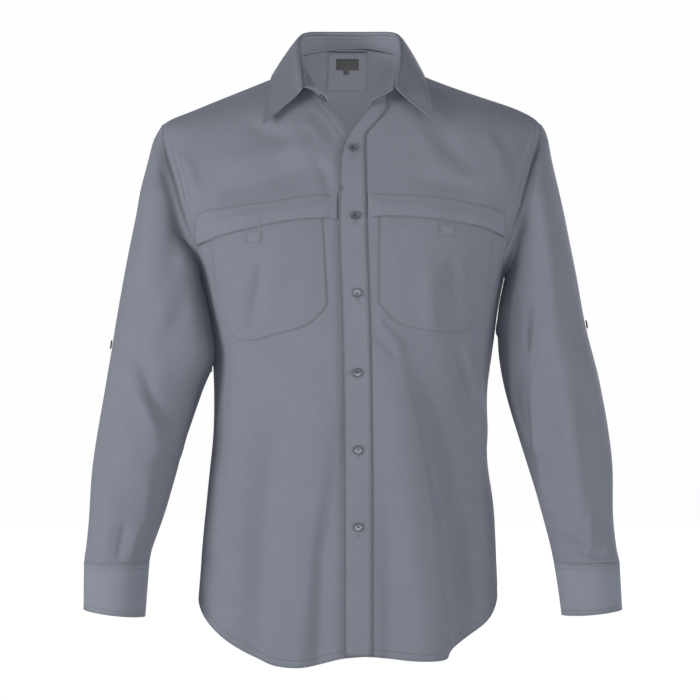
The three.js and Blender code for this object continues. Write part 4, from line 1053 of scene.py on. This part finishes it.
def threadMesh(name):
    form = bmesh.new()
    setup = buttonSetup
    steps = setup["threadSteps"]
    for quarter in range(2):
        angle = math.pi / 4 + quarter * math.pi / 2 + setup["turn"]
        along = Vector((math.cos(angle), math.sin(angle), 0))
        over = Vector((-along.y, along.x, 0))
        rise = setup["threadRise"][0] + setup["threadRise"][1] * quarter
        rings = []
        for step in range(steps + 1):
            t = step / steps * 2 - 1
            height = setup["threadBase"] + rise * (1 - t ** 4)
            middle = along * (t * setup["holeOut"]) + Vector((0, 0, height))
            ring = []
            for a in turnsOf(setup["threadSides"]):
                out = over * (setup["threadWidth"] * math.cos(a))
                up = Vector((0, 0, setup["threadHeight"] * math.sin(a)))
                ring.append(form.verts.new((middle + out + up) * mm))
            rings.append(ring)
        closedTube(form, rings)
    return finishedMesh(form, name)


placketTree = treeOf(bases["placket"])


def placeButton(node, outward):
    points = pointsOf(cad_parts[node].data)
    low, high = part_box(node)
    centre = (low + high) / 2
    _, _, axes = np.linalg.svd(points - points.mean(0), full_matrices=False)
    normal = Vector(axes[2])
    if normal.dot(outward(centre)) < 0:
        normal = -normal
    across = Vector((0, 0, 1)).cross(normal).normalized()
    upright = normal.cross(across)
    base = centre - normal * (buttonSetup["thick"] / 2 * mm)
    if node.startswith("front_button"):  # seated on the creased placket
        below, _, _, _ = placketTree.ray_cast(base + normal * buttonSetup["search"] * mm, -normal)
        base = below + normal * buttonSetup["seat"] * mm if below is not None else base
    for kind, mesh, material in (("shell", buttonMesh, buttonShell), ("thread", threadMesh, threadDark)):
        made = mesh(f"{node}_{kind}")
        for vert in made.vertices:
            vert.co = base + across * vert.co.x + upright * vert.co.y + normal * vert.co.z
        piece = addObject(f"{node}_{kind}", made)
        made.materials.append(material)
        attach(piece, "root")
        if kind == "shell":
            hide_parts(node)


for node in sorted(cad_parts):
    if "button" in node:
        arm = {"right": sleeveOut(-1), "left": sleeveOut(1)}.get(node.split("_")[-1])
        placeButton(node, arm or bodyOut)
print("buttons ready")

# the cut of each piece of cloth: width and length before sewing, in metres
cuts = {
    "front_right_cloth": (0.300, 0.765, 0.189), "front_left_cloth": (0.300, 0.760, 0.186),
    "back_cloth": (0.520, 0.650, 0.299), "yoke_cloth": (0.500, 0.190, 0.0833),
    "sleeve_right_cloth": (0.450, 0.560, 0.173), "sleeve_left_cloth": (0.450, 0.560, 0.171),
    "pocket_right_cloth": (0.150, 0.160, 0.0212), "pocket_left_cloth": (0.150, 0.158, 0.0210),
    "flap_right_cloth": (0.190, 0.040, 0.0065), "flap_left_cloth": (0.185, 0.035, 0.0056),
    "hook_tab_right_cloth": (0.021, 0.018, None), "hook_tab_left_cloth": (0.021, 0.016, None),
    "placket_cloth": (0.036, 0.720, None), "collar_stand_cloth": (0.480, 0.040, 0.0098),
    "collar_fall_cloth": (0.480, 0.080, 0.0272), "cuff_right_cloth": (0.270, 0.067, None),
    "cuff_left_cloth": (0.265, 0.066, None), "sleeve_placket_right_cloth": (0.026, 0.110, None),
    "sleeve_placket_left_cloth": (0.026, 0.108, None), "label_patch_cloth": (0.060, 0.052, None),
    "neck_label_satin": (0.033, 0.016, None), "size_tab_satin": (0.010, 0.010, 0.00004),
}
for piece in rootPieces:
    if piece.name in cuts:
        width, length, flatArea = cuts[piece.name]

# floor and backdrop in one soft sweep
floorSetup = {
    "level": -0.80, "width": 16.0, "front": -8.0, "back": 7.0, "height": 6.0, "bend": 1.6, "steps": 16,
    "paper": {"Base Color": (0.62, 0.62, 0.63, 1), "Roughness": 0.9},
    "glow": 1.08,  # strength of the white that the camera sees, and its share
    "glowShare": 0.9,
}
level, bend = floorSetup["level"], floorSetup["bend"]
profile = [(floorSetup["front"], level)]
for step in range(floorSetup["steps"] + 1):
    angle = math.pi / 2 * step / floorSetup["steps"]
    away = floorSetup["back"] - bend * (1 - math.sin(angle))
    profile.append((away, level + bend * (1 - math.cos(angle))))
profile.append((floorSetup["back"], level + floorSetup["height"]))
verts, quads = [], []
for y, z in profile:
    verts += [(-floorSetup["width"] / 2, y, z), (floorSetup["width"] / 2, y, z)]
for place in range(len(profile) - 1):
    quads.append((2 * place, 2 * place + 1, 2 * place + 3, 2 * place + 2))
floorMesh = bpy.data.meshes.new("floor")
floorMesh.from_pydata(verts, [], quads)
floorMesh.shade_smooth()
floor = addObject("floor", floorMesh)
paper, paperTree, paperShader = newMaterial("paper", floorSetup["paper"])
glow = addNode(paperTree, "Emission", {"Color": (1, 1, 1, 1), "Strength": floorSetup["glow"]})
paperRay = addNode(paperTree, "LightPath").outputs["Is Camera Ray"]
seenShare = maths(paperTree, "MULTIPLY", paperRay, floorSetup["glowShare"])
paperMix = addNode(paperTree, "MixShader", {0: seenShare, 1: paperShader.outputs[0], 2: glow.outputs[0]})
paperTree.links.new(paperMix.outputs[0], paperTree.nodes["Material Output"].inputs["Surface"])
floorMesh.materials.append(paper)
print("floor ready")
